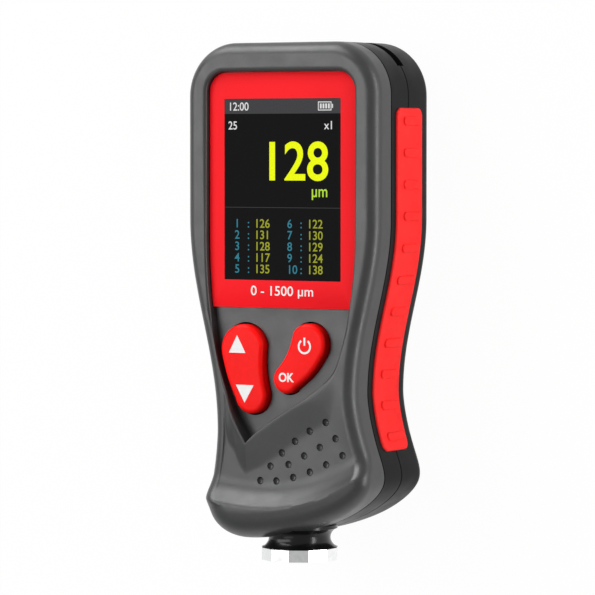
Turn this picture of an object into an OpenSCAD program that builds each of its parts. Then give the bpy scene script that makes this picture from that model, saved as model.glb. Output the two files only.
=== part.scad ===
// Hand-held coating thickness gauge, lying on its back.
// +Z leaves the front face, +Y runs to the top end, the probe is at the -Y end.
// The origin is the middle of the whole gauge on the plane that it rests on. All sizes are millimetres.

/* [Body] */
// Length of the housing without the probe
body_len = 112; // [108:0.5:120]
// Width of the housing above the waist
body_w = 50.2; // [49:0.2:56]
// Radius of the two top corners in front view
top_corner_r = 12; // [10:0.5:15]
// Height of the flat front rim above the rest pad
rim_z = 25.4; // [25:0.1:28]
// Height of the parting plane between front cover and mid frame
front_parting_z = 18.5; // [18.2:0.1:19.4]
// Height of the parting plane between mid frame and rear cover
rear_parting_z = 10.9; // [9:0.1:12]
// Rounding of the back edge
rear_round = 3.2; // [2:0.1:4]
// Wall of the front cover
front_wall = 1.8; // [1.4:0.1:2.2]
// Wall of the mid frame and the rear cover
shell_wall = 2.2; // [1.8:0.1:2.6]
// Step between the rear rounding and the rest pad
pad_step = 0.25; // [0.15:0.05:0.5]

/* [Waist and flare] */
// Distance from the top at which the sides begin to narrow
waist_start = 39.5; // [34:0.5:44]
// Half width at the right waist
waist_right_x = 19.1; // [18:0.1:21]
// Distance of the right waist from the top
waist_right_d = 78.5; // [74:0.5:82]
// Half width at the left waist
waist_left_x = 17.7; // [17:0.1:20]
// Distance of the left waist from the top
waist_left_d = 87.5; // [84:0.5:90]
// Half width at the right flare
flare_right_x = 24.2; // [22.5:0.1:26]
// Distance of the right flare above the bottom end
flare_right_up = 14.8; // [13:0.1:18]
// Half width at the left flare
flare_left_x = 20.2; // [19:0.1:24]
// Distance of the left flare above the bottom end
flare_left_up = 8.7; // [8:0.1:12]
// Sideways place of the lowest point of the outline
bottom_x = -10; // [-11:0.1:-6]
// Fullness of the bottom curve on the right, 2 for an ellipse
bottom_right_power = 1.7; // [1.6:0.05:2.2]
// Fullness of the bottom curve on the left, 2 for an ellipse
bottom_left_power = 2.2; // [1.8:0.05:2.4]

/* [Front relief] */
// Rounding of the front edge, seen from the front
rim_round = 3; // [2:0.1:3.4]
// Rounding of the front edge, seen from the side
rim_drop = 3.2; // [2:0.1:4]
// Height of the lip above the bottom end
lip_z = 28; // [27:0.1:30]
// Rounding of the bottom lip, seen from the front
lip_round = 6.6; // [5:0.1:8]
// Rounding of the bottom lip, seen from the side
lip_drop = 7; // [5:0.1:8]
// Height of the dimpled field
field_z = 25; // [24.6:0.1:26]
// Height of the collar ridge round the tip of the recess
ridge_z = 26.6; // [26:0.1:27.5]
// Width of the slope between the field and the lip
flare_slope_w = 6; // [4:0.2:7]
// Width of the collar slope round the recess tip
collar_w = 7; // [5:0.2:8]
// Small rounding of the recess edge
recess_edge = 0.4; // [0.2:0.1:0.6]
// Diameter of a grip dimple
dimple_d = 1.7; // [1.2:0.1:2.2]
// Depth of a grip dimple
dimple_depth = 0.65; // [0.3:0.05:0.8]

/* [Recess] */
// Half width of the recess round the window panel
recess_half = 19.5; // [19:0.1:20]
// Distance of the recess from the top
recess_top_d = 6.5; // [5.6:0.1:7]
// Radius of the upper recess corners
recess_corner_r = 4.6; // [3:0.1:6]
// Height of the recess floor
floor_z = 23; // [22.6:0.1:23.6]
// Thickness of the recess floor
floor_t = 1.6; // [1.2:0.1:1.8]
// Distance above the lower panel edge at which the recess begins to narrow
recess_narrow_up = 15.8; // [12:0.1:20]
// Sideways place of the recess shoulder on the right
shoulder_x = 14.6; // [13.5:0.1:15.5]
// Distance of the recess shoulder below the panel
shoulder_below = 12.5; // [11.5:0.1:14.5]
// Sideways place of the recess tip
tip_x = -8.2; // [-9.5:0.1:-7]
// Distance of the recess tip below the panel
tip_below = 30.2; // [29.5:0.1:31.5]

/* [Window and display] */
// Thickness of the printed window panel
panel_t = 1; // [0.8:0.1:1.4]
// Gap round the window panel
panel_fit = 0.15; // [0.1:0.05:0.3]
// Width of the visible screen
screen_w = 30.6; // [28:0.1:32]
// Height of the visible screen
screen_h = 40.8; // [38:0.1:42]
// Distance of the screen from the top
screen_top_d = 12.6; // [12:0.1:13]
// Height of the panel below the screen
panel_chin = 6.4; // [5.8:0.1:7]
// Border of the display module beside the screen
module_border = 1.9; // [1.5:0.1:2.2]
// Border of the display module below the screen
module_foot = 5.6; // [4:0.1:6]
// Thickness of the display module
module_t = 2.2; // [1.8:0.1:2.3]
// Thickness of the foam gasket over the display
gasket_t = 0.5; // [0.3:0.1:0.6]
// Width of the foam gasket
gasket_w = 1.2; // [0.8:0.1:1.5]

/* [Keys] */
// How far a key stands above the recess floor
key_proud = 2.2; // [1.8:0.1:2.6]
// How far a key reaches below the recess floor
key_skirt = 3.4; // [3:0.1:3.4]
// Gap between a key and its opening
key_gap = 0.4; // [0.3:0.05:0.5]
// Rounding of the key edge
key_round = 1; // [0.6:0.1:1.4]
// Sideways place of the upper lobe of the arrow key
arrow_upper_x = -10.1; // [-10.4:0.1:-9.4]
// Distance of the upper lobe of the arrow key below the panel
arrow_upper_below = 9.3; // [9:0.1:10]
// Sideways place of the lower lobe of the arrow key
arrow_lower_x = -7.9; // [-8.2:0.1:-7.4]
// Distance of the lower lobe of the arrow key below the panel
arrow_lower_below = 19.7; // [19:0.1:20]
// Sideways place of the upper lobe of the power key
power_upper_x = 7.2; // [6.9:0.1:8]
// Distance of the upper lobe of the power key below the panel
power_upper_below = 7.7; // [7.4:0.1:8.6]
// Sideways place of the lower lobe of the power key
power_lower_x = 1.4; // [1.2:0.1:2.2]
// Distance of the lower lobe of the power key below the panel
power_lower_below = 15.8; // [15:0.1:16.2]
// Bend of the middle line of the arrow key
arrow_bend = 0.5; // [0.3:0.1:0.8]
// Bend of the middle line of the power key
power_bend = 0.7; // [0.4:0.1:0.9]
// Pinch of a key between its lobes
key_pinch = 0.1; // [0:0.05:0.3]
// Radius of the upper lobe of the arrow key
arrow_upper_r = 5.9; // [5.5:0.1:6]
// Radius of the lower lobe of the arrow key
arrow_lower_r = 4.4; // [4.1:0.1:4.8]
// Radius of the upper lobe of the power key
power_upper_r = 4.9; // [4.5:0.1:5.1]
// Radius of the lower lobe of the power key
power_lower_r = 3.5; // [3.2:0.1:3.8]
// Radius of the bar that a key rocks on
pivot_r = 0.65; // [0.5:0.05:0.7]
// Gap between a key and its pivot bar
pivot_fit = 0.1; // [0.06:0.02:0.16]

/* [Side grips] */
// Distance of the grip from the top
grip_top_d = 14.7; // [14:0.1:16]
// Length of the grip
grip_len = 76.9; // [70:0.1:78]
// Width of the grip
grip_w = 11.3; // [10.6:0.1:11.8]
// Height of the rear grip edge above the rest pad
grip_z = 5.2; // [4.8:0.1:5.6]
// Depth of the grip pocket in the wall
grip_depth = 1; // [0.7:0.1:1.2]
// How far the grip stands out of the wall
grip_proud = 0.5; // [0.3:0.1:0.8]
// Corner radius of the grip in side view
grip_corner_r = 2; // [1:0.1:3]
// Gap round the grip in its pocket
grip_fit = 0.1; // [0.05:0.05:0.2]
// Number of raised bars on a grip
grip_bars = 11; // [9:1:12]
// Length of a grip bar
bar_len = 7.5; // [6:0.1:8]
// Width of a grip bar
bar_w = 2; // [1.4:0.1:2.4]
// Height of a grip bar
bar_proud = 0.4; // [0.2:0.05:0.6]

/* [Probe] */
// Height of the probe axis above the rest pad
probe_z = 16.4; // [16:0.1:17]
// Radius of the neck next to the housing and the foot
neck_r = 8.6; // [8.2:0.1:8.8]
// Radius of the neck at its waist
neck_waist_r = 7; // [6.4:0.1:7.6]
// How far the neck stands out of the housing
neck_len = 2.4; // [2:0.1:3]
// Depth of the round seat of the neck in the bottom wall
neck_seat = 3.4; // [3:0.1:3.8]
// Thickness of the neck flange in its seat
flange_t = 1; // [0.8:0.1:1.2]
// Radius of the probe tube inside the housing
tube_r = 6.2; // [6:0.1:6.6]
// Radius of the tube bore
tube_bore_r = 4.2; // [4:0.1:4.4]
// Length of the tube inside the housing
tube_len = 9.7; // [9.4:0.1:10.2]
// Radius across the corners of the twelve-sided foot
foot_r = 8.8; // [8.6:0.1:9.4]
// Height of the foot
foot_h = 2.4; // [2:0.1:3]
// Depth of the V notch in the foot
notch_depth = 1.3; // [0.8:0.1:1.6]
// Radius of the sensor rod
rod_r = 3.1; // [2.8:0.1:3.3]
// Running gap of the sensor rod
rod_fit = 0.1; // [0.06:0.02:0.14]
// Radius of the hard tip
tip_r = 1.2; // [1:0.1:1.5]
// Travel of the sensor rod
tip_travel = 0.8; // [0.6:0.1:0.9]
// Wire radius of the probe spring
spring_wire_r = 0.3; // [0.2:0.05:0.35]

/* [Battery] */
// Radius of a cell
cell_r = 5.25; // [5.1:0.05:5.3]
// Length of a cell with its cap
cell_len = 44.5; // [43.5:0.1:45]
// Distance of the battery space from the top
bay_top_d = 15.2; // [14.6:0.1:16]
// Free length of a battery spring in place
cell_spring_len = 4.2; // [3.6:0.1:4.6]
// Thickness of a contact plate
contact_t = 0.4; // [0.3:0.1:0.5]
// Wall of the battery space
bay_wall = 1.2; // [1:0.1:1.4]
// Thickness of the battery cover
door_t = 1.4; // [1.2:0.1:1.5]
// Gap round the battery cover
door_gap = 0.2; // [0.15:0.05:0.3]

/* [Board and screws] */
// Height of the underside of the circuit board
board_z = 16; // [15.6:0.1:16.2]
// Thickness of the circuit board
board_t = 1.6; // [1.2:0.1:1.6]
// Gap between the circuit board and the walls
board_gap = 0.5; // [0.3:0.1:1]
// Width of a key switch
switch_w = 4.4; // [4:0.1:4.8]
// Height of the body of a key switch
switch_h = 1.3; // [1:0.1:1.4]
// Radius of a case screw shank
screw_r = 1.15; // [1:0.05:1.3]
// Radius of a case screw head
screw_head_r = 2.1; // [1.9:0.05:2.2]
// Radius of a screw pillar
pillar_r = 3.2; // [3:0.1:3.5]
// Radius of a front screw boss
boss_r = 2.5; // [2.3:0.1:2.6]
// Depth of a screw head in the back
screw_sink = 7.5; // [5:0.1:9]
// Width of the strap slit
slit_w = 2; // [1.2:0.1:2.4]

/* [Hidden] */
$fn = 48;
body_half = body_w / 2;
top_y = (body_len + neck_len + foot_h + tip_travel) / 2;
overlap = 0.2;
small = 0.01;
n_flat = 3;
n_arc = 7;
n_straight = 4;
n_waist = 9;
n_flare = 8;
n_bottom = 10;
flare_power = 1.6;
flare_right_d = body_len - flare_right_up;
flare_left_d = body_len - flare_left_up;
panel_bottom_d = screen_top_d + screen_h + panel_chin;
recess_narrow_d = panel_bottom_d - recess_narrow_up;
shoulder_d = panel_bottom_d + shoulder_below;
tip_d = panel_bottom_d + tip_below;
floor_under_z = floor_z - floor_t;
panel_z = floor_z + panel_t;
key_top_z = floor_z + key_proud;
key_bottom_z = floor_z - key_skirt;
pivot_z = floor_z - floor_t / 2;
board_top_z = board_z + board_t;
neck_top_d = body_len - neck_seat;
neck_end_d = body_len + neck_len;
flange_end_d = neck_top_d + flange_t;
foot_end_d = neck_end_d + foot_h;
tube_top_d = neck_top_d - tube_len;
neck_floor_t = 2.2;
rod_head_len = 5;
winding_len = 4;
spring_plate_t = 1.2;
spring_room = 2.9;
stem_r = 1.6;
shoulder_in_d = neck_end_d - neck_floor_t;
head_top_d = shoulder_in_d - rod_head_len;
coil_top_d = head_top_d - winding_len;
stem_top_d = coil_top_d - spring_plate_t;
spring_seat_d = stem_top_d - spring_room;
bay_len = 2 * contact_t + cell_spring_len + cell_len;
bay_bottom_d = bay_top_d + bay_len;
cell_gap = 0.25;
cell_x = cell_r + cell_gap;
bay_half = 2 * cell_r + 2 * cell_gap;
door_z = 0.3;
door_top_z = door_z + door_t;
ledge_gap = 0.1;
cell_room = 0.3;
ledge_z = door_top_z + ledge_gap;
cell_z = ledge_z + cell_r + cell_room;
bay_roof_z = cell_z + cell_r + cell_room;
door_half = bay_half + bay_wall;
door_top_d = bay_top_d - bay_wall;
door_bottom_d = bay_bottom_d + bay_wall;
module_z = floor_under_z - gasket_t - module_t;
module_half = screen_w / 2 + module_border;
module_top_d = screen_top_d - module_border;
module_bottom_d = screen_top_d + screen_h + module_foot;
// Tops of the screw bosses, inside the recess floor and inside the dimpled field
upper_boss_z = floor_z - overlap;
lower_boss_z = field_z - 2 * overlap;
// Each case screw: sideways place, distance from the top and top of its boss
upper_screw_x = 14.5;
upper_screw_d = 7.6;
right_screw_x = 14;
left_screw_x = -12;
screw_tip_gap = 2;
lower_screw_d = tip_d + screw_tip_gap;
screws = [[upper_screw_x, upper_screw_d, upper_boss_z], [-upper_screw_x, upper_screw_d, upper_boss_z],
    [right_screw_x, lower_screw_d, lower_boss_z], [left_screw_x, lower_screw_d, lower_boss_z]];
pilot_depth = 4;
board_end_gap = 2.4;
board_bottom_d = tube_top_d - board_end_gap;

function ease(t) = (1 - cos(180 * t)) / 2;
function mix(a, b, t) = a + (b - a) * t;
function bezier(a, b, c, d, t) =
    pow(1 - t, 3) * a + 3 * t * pow(1 - t, 2) * b + 3 * t * t * (1 - t) * c + t * t * t * d;
function unit(v) = v / norm(v);
function y_at(d) = top_y - d;
function reverse(list) = [for (i = [len(list) - 1 : -1 : 0]) list[i]];
function inner(list) = [for (i = [1 : len(list) - 2]) list[i]];
function loop(right, left) = concat(right, reverse(inner(left)));
function lift(p, z) = [p.x, p.y, z];

// Half width of one side of the housing at a distance below the top
function side_x(side, d) =
    let (wx = side > 0 ? waist_right_x : waist_left_x, wd = side > 0 ? waist_right_d : waist_left_d)
    let (fx = side > 0 ? flare_right_x : flare_left_x, fd = side > 0 ? flare_right_d : flare_left_d)
    d <= waist_start ? body_half
    : d <= wd ? mix(body_half, wx, ease((d - waist_start) / (wd - waist_start)))
    : mix(wx, fx, pow((d - wd) / (fd - wd), flare_power));

// Straight top edge and round corner, from the middle outwards
function top_run(side, half, top, r) = concat(
    [for (i = [0 : n_flat - 1]) [side * (half - r) * i / n_flat, top]],
    [for (i = [0 : n_arc - 1])
        let (a = 90 - 90 * i / n_arc) [side * (half - r + r * cos(a)), top - r + r * sin(a)]]);

// One half of the housing outline, from the top middle to the lowest point
function outer_half(side) =
    let (wd = side > 0 ? waist_right_d : waist_left_d, fd = side > 0 ? flare_right_d : flare_left_d)
    let (fx = side > 0 ? flare_right_x : flare_left_x)
    let (power = 2 / (side > 0 ? bottom_right_power : bottom_left_power))
    let (stops = concat(
        [for (i = [0 : n_straight - 1]) mix(top_corner_r, waist_start, i / n_straight)],
        [for (i = [0 : n_waist - 1]) mix(waist_start, wd, i / n_waist)],
        [for (i = [0 : n_flare - 1]) mix(wd, fd, i / n_flare)]))
    concat(
        top_run(side, body_half, top_y, top_corner_r),
        [for (d = stops) [side * side_x(side, d), y_at(d)]],
        [for (i = [0 : n_bottom])
            let (a = 90 * i / n_bottom)
            [mix(bottom_x, side * fx, pow(cos(a), power)), mix(y_at(fd), y_at(body_len), pow(sin(a), power))]]);

// Curves of the recess edge below the straight part
side_handle = 10;
shoulder_in_handle = [2.6, 5.8];
shoulder_out_handle = [3.4, 7.2];
tip_right_handle = [5.7, 6.2];
left_side_handle = [0.2, -22];
tip_left_handle = [-7, 10];
left_waist_share = 0.62;
left_flare_share = 0.82;
right_flare_share = 0.5;
recess_tip = [tip_x, y_at(tip_d)];
recess_shoulder = [shoulder_x, y_at(shoulder_d)];
recess_right = [recess_half, y_at(recess_narrow_d)];
recess_left = [-recess_half, y_at(recess_narrow_d)];
function right_side_curve(t) = bezier(recess_right, recess_right - [0, side_handle],
    recess_shoulder + shoulder_in_handle, recess_shoulder, t);
function right_v_curve(t) = bezier(recess_shoulder, recess_shoulder - shoulder_out_handle,
    recess_tip + tip_right_handle, recess_tip, t);
function left_curve(t) = bezier(recess_left, recess_left + left_side_handle,
    recess_tip + tip_left_handle, recess_tip, t);

// One half of the recess edge, with the same number of points as the housing outline
function recess_half_points(side) = concat(
    top_run(side, recess_half, y_at(recess_top_d), recess_corner_r),
    [for (i = [0 : n_straight - 1])
        [side * recess_half, mix(y_at(recess_top_d + recess_corner_r), recess_right.y, i / n_straight)]],
    [for (i = [0 : n_waist - 1]) let (t = i / n_waist)
        side > 0 ? right_side_curve(t) : left_curve(left_waist_share * t)],
    [for (i = [0 : n_flare - 1]) let (t = i / n_flare)
        side > 0 ? right_v_curve(right_flare_share * t)
            : left_curve(mix(left_waist_share, left_flare_share, t))],
    [for (i = [0 : n_bottom]) let (t = i / n_bottom)
        side > 0 ? right_v_curve(mix(right_flare_share, 1, t)) : left_curve(mix(left_flare_share, 1, t))]);

// Shares of the lower relief and of the bottom lip along one half
n_upper = n_flat + n_arc + n_straight + n_waist;
relief_half = concat([for (i = [1 : n_upper]) 0], [for (i = [0 : n_flare - 1]) ease(i / n_flare)],
    [for (i = [0 : n_bottom]) 1]);
lip_half = concat([for (i = [1 : n_upper + n_flare]) 0],
    [for (i = [0 : n_bottom]) ease(i / n_bottom)]);

outline = loop(outer_half(1), outer_half(-1));
recess = loop(recess_half_points(1), recess_half_points(-1));
relief = loop(relief_half, relief_half);
lip = loop(lip_half, lip_half);
n_loop = len(outline);

// Inward direction at each outline point
inward = [for (i = [0 : n_loop - 1])
    let (t = unit(outline[(i + 1) % n_loop] - outline[(i + n_loop - 1) % n_loop])) [t.y, -t.x]];
crest = [for (i = [0 : n_loop - 1]) outline[i] + inward[i] * mix(rim_round, lip_round, lip[i])];
spread = [for (i = [0 : n_loop - 1]) norm(crest[i] - recess[i])];
outward = [for (i = [0 : n_loop - 1]) unit(crest[i] - recess[i])];

function inset(amount) = [for (i = [0 : n_loop - 1]) outline[i] + inward[i] * amount];
function recess_out(amount) = [for (i = [0 : n_loop - 1]) recess[i] + outward[i] * amount];

// Largest shares of the way from the crest to the recess that a slope and the recess wall take up
slope_share = 0.45;
wall_share = 0.6;
// Share of the lip height half way up its slope
slope_rise = 0.38;

// Cross-section of the front cover at one outline point, from the recess floor over the rim to its underside
function cover_section(i) =
    let (o = outline[i], n = inward[i], r = recess[i], c = crest[i], u = outward[i], low = relief[i])
    let (w = mix(rim_round, lip_round, lip[i]), drop = mix(rim_drop, lip_drop, lip[i]))
    let (top = mix(rim_z, lip_z, low), edge_z = mix(rim_z, ridge_z, low), mid_z = mix(rim_z, field_z, low))
    let (slope = min(flare_slope_w / spread[i], slope_share), collar = min(collar_w / spread[i], slope_share))
    let (f = [mix(0.75, 1 - collar, low), mix(0.5, slope, low), mix(0.25, slope / 2, low)])
    let (side = min(front_wall, wall_share * spread[i]), in = o + n * front_wall, q = r + u * side)
    let (slope_z = mix(rim_z, mix(field_z, lip_z, slope_rise), low))
    concat(
        [lift(r, floor_z), lift(r, edge_z - recess_edge), lift(r + u * recess_edge, edge_z)],
        [lift(mix(c, r, f[0]), mid_z), lift(mix(c, r, f[1]), mid_z), lift(mix(c, r, f[2]), slope_z)],
        [for (a = [90 : -22.5 : 0]) lift(o + n * w * (1 - cos(a)), top - drop + drop * sin(a))],
        [lift(o, front_parting_z), lift(in, front_parting_z), lift(in, top - drop)],
        [lift(c, top - front_wall), lift(mix(q, c, 0.66), mid_z - front_wall)],
        [lift(mix(q, c, 0.33), mid_z - front_wall), lift(q, edge_z - front_wall - recess_edge)],
        [lift(q, floor_under_z)]);

// Faces of a stack of rings, with a fan of triangles over each end
function stack_faces(k, n) = concat(
    [for (i = [0 : k - 2]) for (j = [0 : n - 1])
        let (a = i * n + j, b = i * n + (j + 1) % n)
        each [[a, b, b + n], [a, b + n, a + n]]],
    [for (j = [0 : n - 1]) [k * n, (j + 1) % n, j]],
    [for (j = [0 : n - 1]) [k * n + 1, (k - 1) * n + j, (k - 1) * n + (j + 1) % n]]);

module stack(rings, centre) {
    last = len(rings) - 1;
    ends = [lift(centre, rings[0][0].z), lift(centre, rings[last][0].z)];
    polyhedron(concat([for (ring = rings) each ring], ends),
        stack_faces(len(rings), len(rings[0])), 4);
}

function ring_at(points, z) = [for (p = points) lift(p, z)];

// Rectangle with round corners, centred
function round_rect(w, h, r, steps = 6) = [for (q = [0 : 3]) for (i = [0 : steps])
    let (a = 90 * q + 90 * i / steps, sx = (q == 0 || q == 3) ? 1 : -1, sy = q < 2 ? 1 : -1)
    [sx * (w / 2 - r) + r * cos(a), sy * (h / 2 - r) + r * sin(a)]];

// Space between two heights above an outline
module slab(z0, z1, points) {
    translate([0, 0, z0])
        linear_extrude(z1 - z0)
            polygon(points);
}

// Children turned so that their Z axis is the distance below the top, on the probe axis
module on_probe_axis() {
    translate([0, top_y, probe_z])
        rotate([90, 0, 0])
            children();
}

module probe_cylinder(d0, d1, r) {
    on_probe_axis()
        translate([0, 0, d0])
            cylinder(d1 - d0, r = r);
}

// Key outlines: two lobes joined along a bent middle line
// Each key is [upper lobe, lower lobe, upper radius, lower radius, bend, waist pinch]
arrow = [[arrow_upper_x, y_at(panel_bottom_d + arrow_upper_below)],
    [arrow_lower_x, y_at(panel_bottom_d + arrow_lower_below)],
    arrow_upper_r, arrow_lower_r, -arrow_bend, key_pinch];
power = [[power_upper_x, y_at(panel_bottom_d + power_upper_below)],
    [power_lower_x, y_at(panel_bottom_d + power_lower_below)],
    power_upper_r, power_lower_r, power_bend, key_pinch];
n_bean = 10;
n_cap = 12;
function key_along(k) = unit(k[1] - k[0]);
function key_across(k) = [-key_along(k).y, key_along(k).x];
function key_mid(k) = (k[0] + k[1]) / 2;
function bean_side(k, grow, side) = [for (i = [1 : n_bean - 1])
    let (t = i / n_bean, r = mix(k[2], k[3], t) - k[5] * sin(180 * t) + grow)
    mix(k[0], k[1], t) + key_across(k) * (side * r + k[4] * sin(180 * t))];
function bean_cap(k, centre, r, start) = let (a0 = atan2(key_along(k).y, key_along(k).x) + start)
    [for (i = [0 : n_cap]) centre + r * [cos(a0 + 180 * i / n_cap), sin(a0 + 180 * i / n_cap)]];
function bean(k, grow) = concat(
    bean_side(k, grow, -1), bean_cap(k, k[1], k[3] + grow, -90),
    reverse(bean_side(k, grow, 1)), bean_cap(k, k[0], k[2] + grow, 90));

// Children on the rocking axis of a key, Z along the axis
module on_pivot(k) {
    translate([key_mid(k).x, key_mid(k).y, pivot_z])
        rotate([0, 0, atan2(key_across(k).y, key_across(k).x)])
            rotate([0, 90, 0])
                children();
}

module pivot_bar(k) {
    bar_hold = 0.6;
    span = k[2] + k[3] + 2 * (key_gap + abs(k[4]) + bar_hold);
    on_pivot(k)
        cylinder(span, r = pivot_r, center = true, $fn = 24);
}

// Rows of dimples: first place, step, bend and count, sideways and downwards from the recess tip
dimple_rows = [
    [[20.3, -5.2], [-4.4, 1.95], [0.19, 0.16], 6],
    [[22.8, -1.7], [-4.1, 2.1], [0, 0], 4],
    [[24.6, 2], [-4.2, 2.45], [-0.03, -0.21], 5]];

// Radius of the ball that a dimple is a part of
dimple_sphere_r = (dimple_d * dimple_d / 4 + dimple_depth * dimple_depth) / (2 * dimple_depth);

module dimples() {
    for (row = dimple_rows)
        for (i = [0 : row[3] - 1])
            let (p = row[0] + row[1] * i + row[2] * i * i)
                translate([tip_x + p.x, y_at(tip_d + p.y), field_z + dimple_sphere_r - dimple_depth])
                    sphere(dimple_sphere_r, $fn = 24);
}

// Round seat for the flange of the probe neck in the bottom wall, with a narrower mouth
module neck_opening() {
    neck_step = 0.3;
    probe_cylinder(tube_top_d, body_len, tube_r + rod_fit);
    probe_cylinder(neck_top_d, flange_end_d + overlap, neck_r + overlap);
    probe_cylinder(neck_top_d, body_len + neck_seat, neck_r - neck_step);
}

// Cross wall that holds the probe tube, between two heights
module neck_block(z0, z1) {
    block_len = 5.4;
    block_step = 0.8;
    block_root = 1;
    block_top_z = probe_z + neck_r - block_step;
    intersection() {
        slab(z0, min(z1, block_top_z), inset(block_root));
        bay_box(body_half, body_len - block_len, neck_top_d, z0, z1);
    }
}

module front_cover() {
    sections = [for (i = [0 : n_loop - 1]) cover_section(i)];
    screen_middle = [0, y_at(screen_top_d + screen_h / 2)];
    window_edge = 0.5;
    window = round_rect(screen_w + 2 * window_edge, screen_h + 2 * window_edge, window_edge);
    color("#5d5e60")
        difference() {
            union() {
                difference() {
                    stack([for (j = [len(sections[0]) - 1 : -1 : 0]) [for (s = sections) s[j]]],
                        screen_middle);
                    translate(lift(screen_middle, 0))
                        slab(0, rim_z, window);
                    slab(0, rim_z, bean(arrow, key_gap));
                    slab(0, rim_z, bean(power, key_gap));
                }
                pivot_bar(arrow);
                pivot_bar(power);
                for (s = screws)
                    translate([s.x, y_at(s.y), board_top_z])
                        cylinder(s.z - board_top_z, r = boss_r);
                neck_block(front_parting_z, rim_z);
            }
            for (s = screws)
                translate([s.x, y_at(s.y), board_top_z - small])
                    cylinder(pilot_depth, r = screw_r);
            neck_opening();
            dimples();
        }
}

// Strip of wall that a grip covers, between two depths below the side surface
n_grip = 24;
function grip_point(side, d, out) =
    let (slope = (side_x(side, d + 0.1) - side_x(side, d - 0.1)) / 0.2)
    [side * side_x(side, d), y_at(d)] + out * unit([side, slope]);
function grip_strip(side, out0, out1) =
    let (stops = [for (i = [0 : n_grip]) grip_top_d - 1 + (grip_len + 2) * i / n_grip])
    concat([for (d = stops) grip_point(side, d, out1)],
        [for (d = reverse(stops)) grip_point(side, d, out0)]);

module grip_block(side, out0, out1, grow) {
    intersection() {
        slab(grip_z - grow, grip_z + grip_w + grow, grip_strip(side, out0, out1));
        translate([side > 0 ? 0 : -body_w, y_at(grip_top_d + grip_len / 2), grip_z + grip_w / 2])
            rotate([90, 0, 90])
                linear_extrude(body_w)
                    polygon(round_rect(grip_len + 2 * grow, grip_w + 2 * grow, grip_corner_r));
    }
}

module grip_pockets() {
    for (side = [-1, 1])
        grip_block(side, -grip_depth, 2, grip_fit);
}

module grip(side) {
    pitch = (grip_len - bar_w * 3) / (grip_bars - 1);
    bar_shift = -0.7;
    bar_z = grip_z + grip_w / 2 + bar_shift;
    color("#e3242b")
        union() {
            grip_block(side, -grip_depth, grip_proud, 0);
            for (i = [0 : grip_bars - 1])
                let (d = grip_top_d + 1.5 * bar_w + i * pitch)
                let (p = grip_point(side, d, grip_proud - overlap), n = p - grip_point(side, d, -1))
                    translate([p.x, p.y, bar_z])
                        rotate([0, 0, atan2(n.y, n.x)])
                            rotate([90, 0, 90])
                                linear_extrude(bar_proud + overlap)
                                    polygon(round_rect(bar_w, bar_len, bar_w / 2 - small));
        }
}

module side_grip_right() {
    grip(1);
}

module side_grip_left() {
    grip(-1);
}

// Strap slit along the top right corner, at the rear parting plane
module strap_slit() {
    first = n_flat;
    last = n_flat + 4;
    deep = inset(shell_wall + 1);
    points = concat([for (i = [first : last]) outline[i] - inward[i]],
        [for (i = [last : -1 : first]) deep[i]]);
    slab(rear_parting_z - slit_w / 2, rear_parting_z + slit_w / 2, points);
}

module mid_frame() {
    color("#262729")
        difference() {
            union() {
                difference() {
                    slab(rear_parting_z, front_parting_z, outline);
                    slab(0, rim_z, inset(shell_wall));
                }
                neck_block(rear_parting_z, front_parting_z);
            }
            grip_pockets();
            neck_opening();
            strap_slit();
        }
}

module screw_holes() {
    for (s = screws)
        translate([s.x, y_at(s.y), -small]) {
            cylinder(board_z + 1, r = screw_r + rod_fit);
            cylinder(screw_sink + small, r = screw_head_r + overlap);
        }
}

// Box between two distances below the top, centred sideways
module bay_box(half, d0, d1, z0, z1) {
    translate([-half, y_at(d1), z0])
        cube([2 * half, d1 - d0, z1 - z0]);
}

module rear_cover() {
    round_steps = [0 : 22.5 : 90];
    pad = inset(rear_round + 2 * pad_step);
    bead_fit = 0.15;
    groove_r = door_t / 2 + bead_fit;
    color("#232426")
        difference() {
            union() {
                difference() {
                    stack(concat(
                        [ring_at(pad, -1), ring_at(pad, pad_step)],
                        [for (a = round_steps) ring_at(inset(rear_round * (1 - sin(a))),
                            pad_step + rear_round * (1 - cos(a)))],
                        [ring_at(outline, rear_parting_z)]), [0, 0]);
                    slab(shell_wall, rim_z, inset(shell_wall));
                    bay_box(body_w, -body_len, 2 * body_len, -2, 0);
                }
                bay_box(door_half, door_top_d, door_bottom_d, 1, bay_roof_z + bay_wall);
                for (s = screws)
                    translate([s.x, y_at(s.y), 1])
                        cylinder(board_z - 1, r = pillar_r);
                neck_block(rear_round, rear_parting_z);
            }
            bay_box(bay_half, bay_top_d, bay_bottom_d, -1, bay_roof_z);
            bay_box(door_half, door_top_d, door_bottom_d, -1, ledge_z);
            door_hinge(groove_r, door_half);
            bay_box(door_half, door_top_d - groove_r, door_top_d, -1, door_z + door_t / 2);
            thumb_scoop();
            screw_holes();
            grip_pockets();
            neck_opening();
            strap_slit();
        }
}

// Round hinge bead of the battery cover
module door_hinge(r, half) {
    translate([-half, y_at(door_top_d), door_z + door_t / 2])
        rotate([0, 90, 0])
            cylinder(2 * half, r = r, $fn = 24);
}

module thumb_scoop() {
    scoop_r = 9;
    scoop_depth = 1.2;
    scoop_shift = 2;
    translate([0, y_at(door_bottom_d + scoop_shift), scoop_depth - scoop_r])
        sphere(scoop_r, $fn = 48);
}

module battery_cover() {
    half = door_half - door_gap;
    grooves = 5;
    groove_pitch = 1.6;
    groove_r = 0.4;
    groove_len = 12;
    groove_edge = 3;
    color("#232426")
        difference() {
            union() {
                bay_box(half, door_top_d, door_bottom_d - door_gap, door_z, door_top_z);
                door_hinge(door_t / 2, half);
            }
            for (i = [0 : grooves - 1])
                translate([0, y_at(door_bottom_d - groove_edge - i * groove_pitch), door_z])
                    rotate([0, 90, 0])
                        cylinder(groove_len - i, r = groove_r, center = true, $fn = 16);
        }
}

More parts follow.
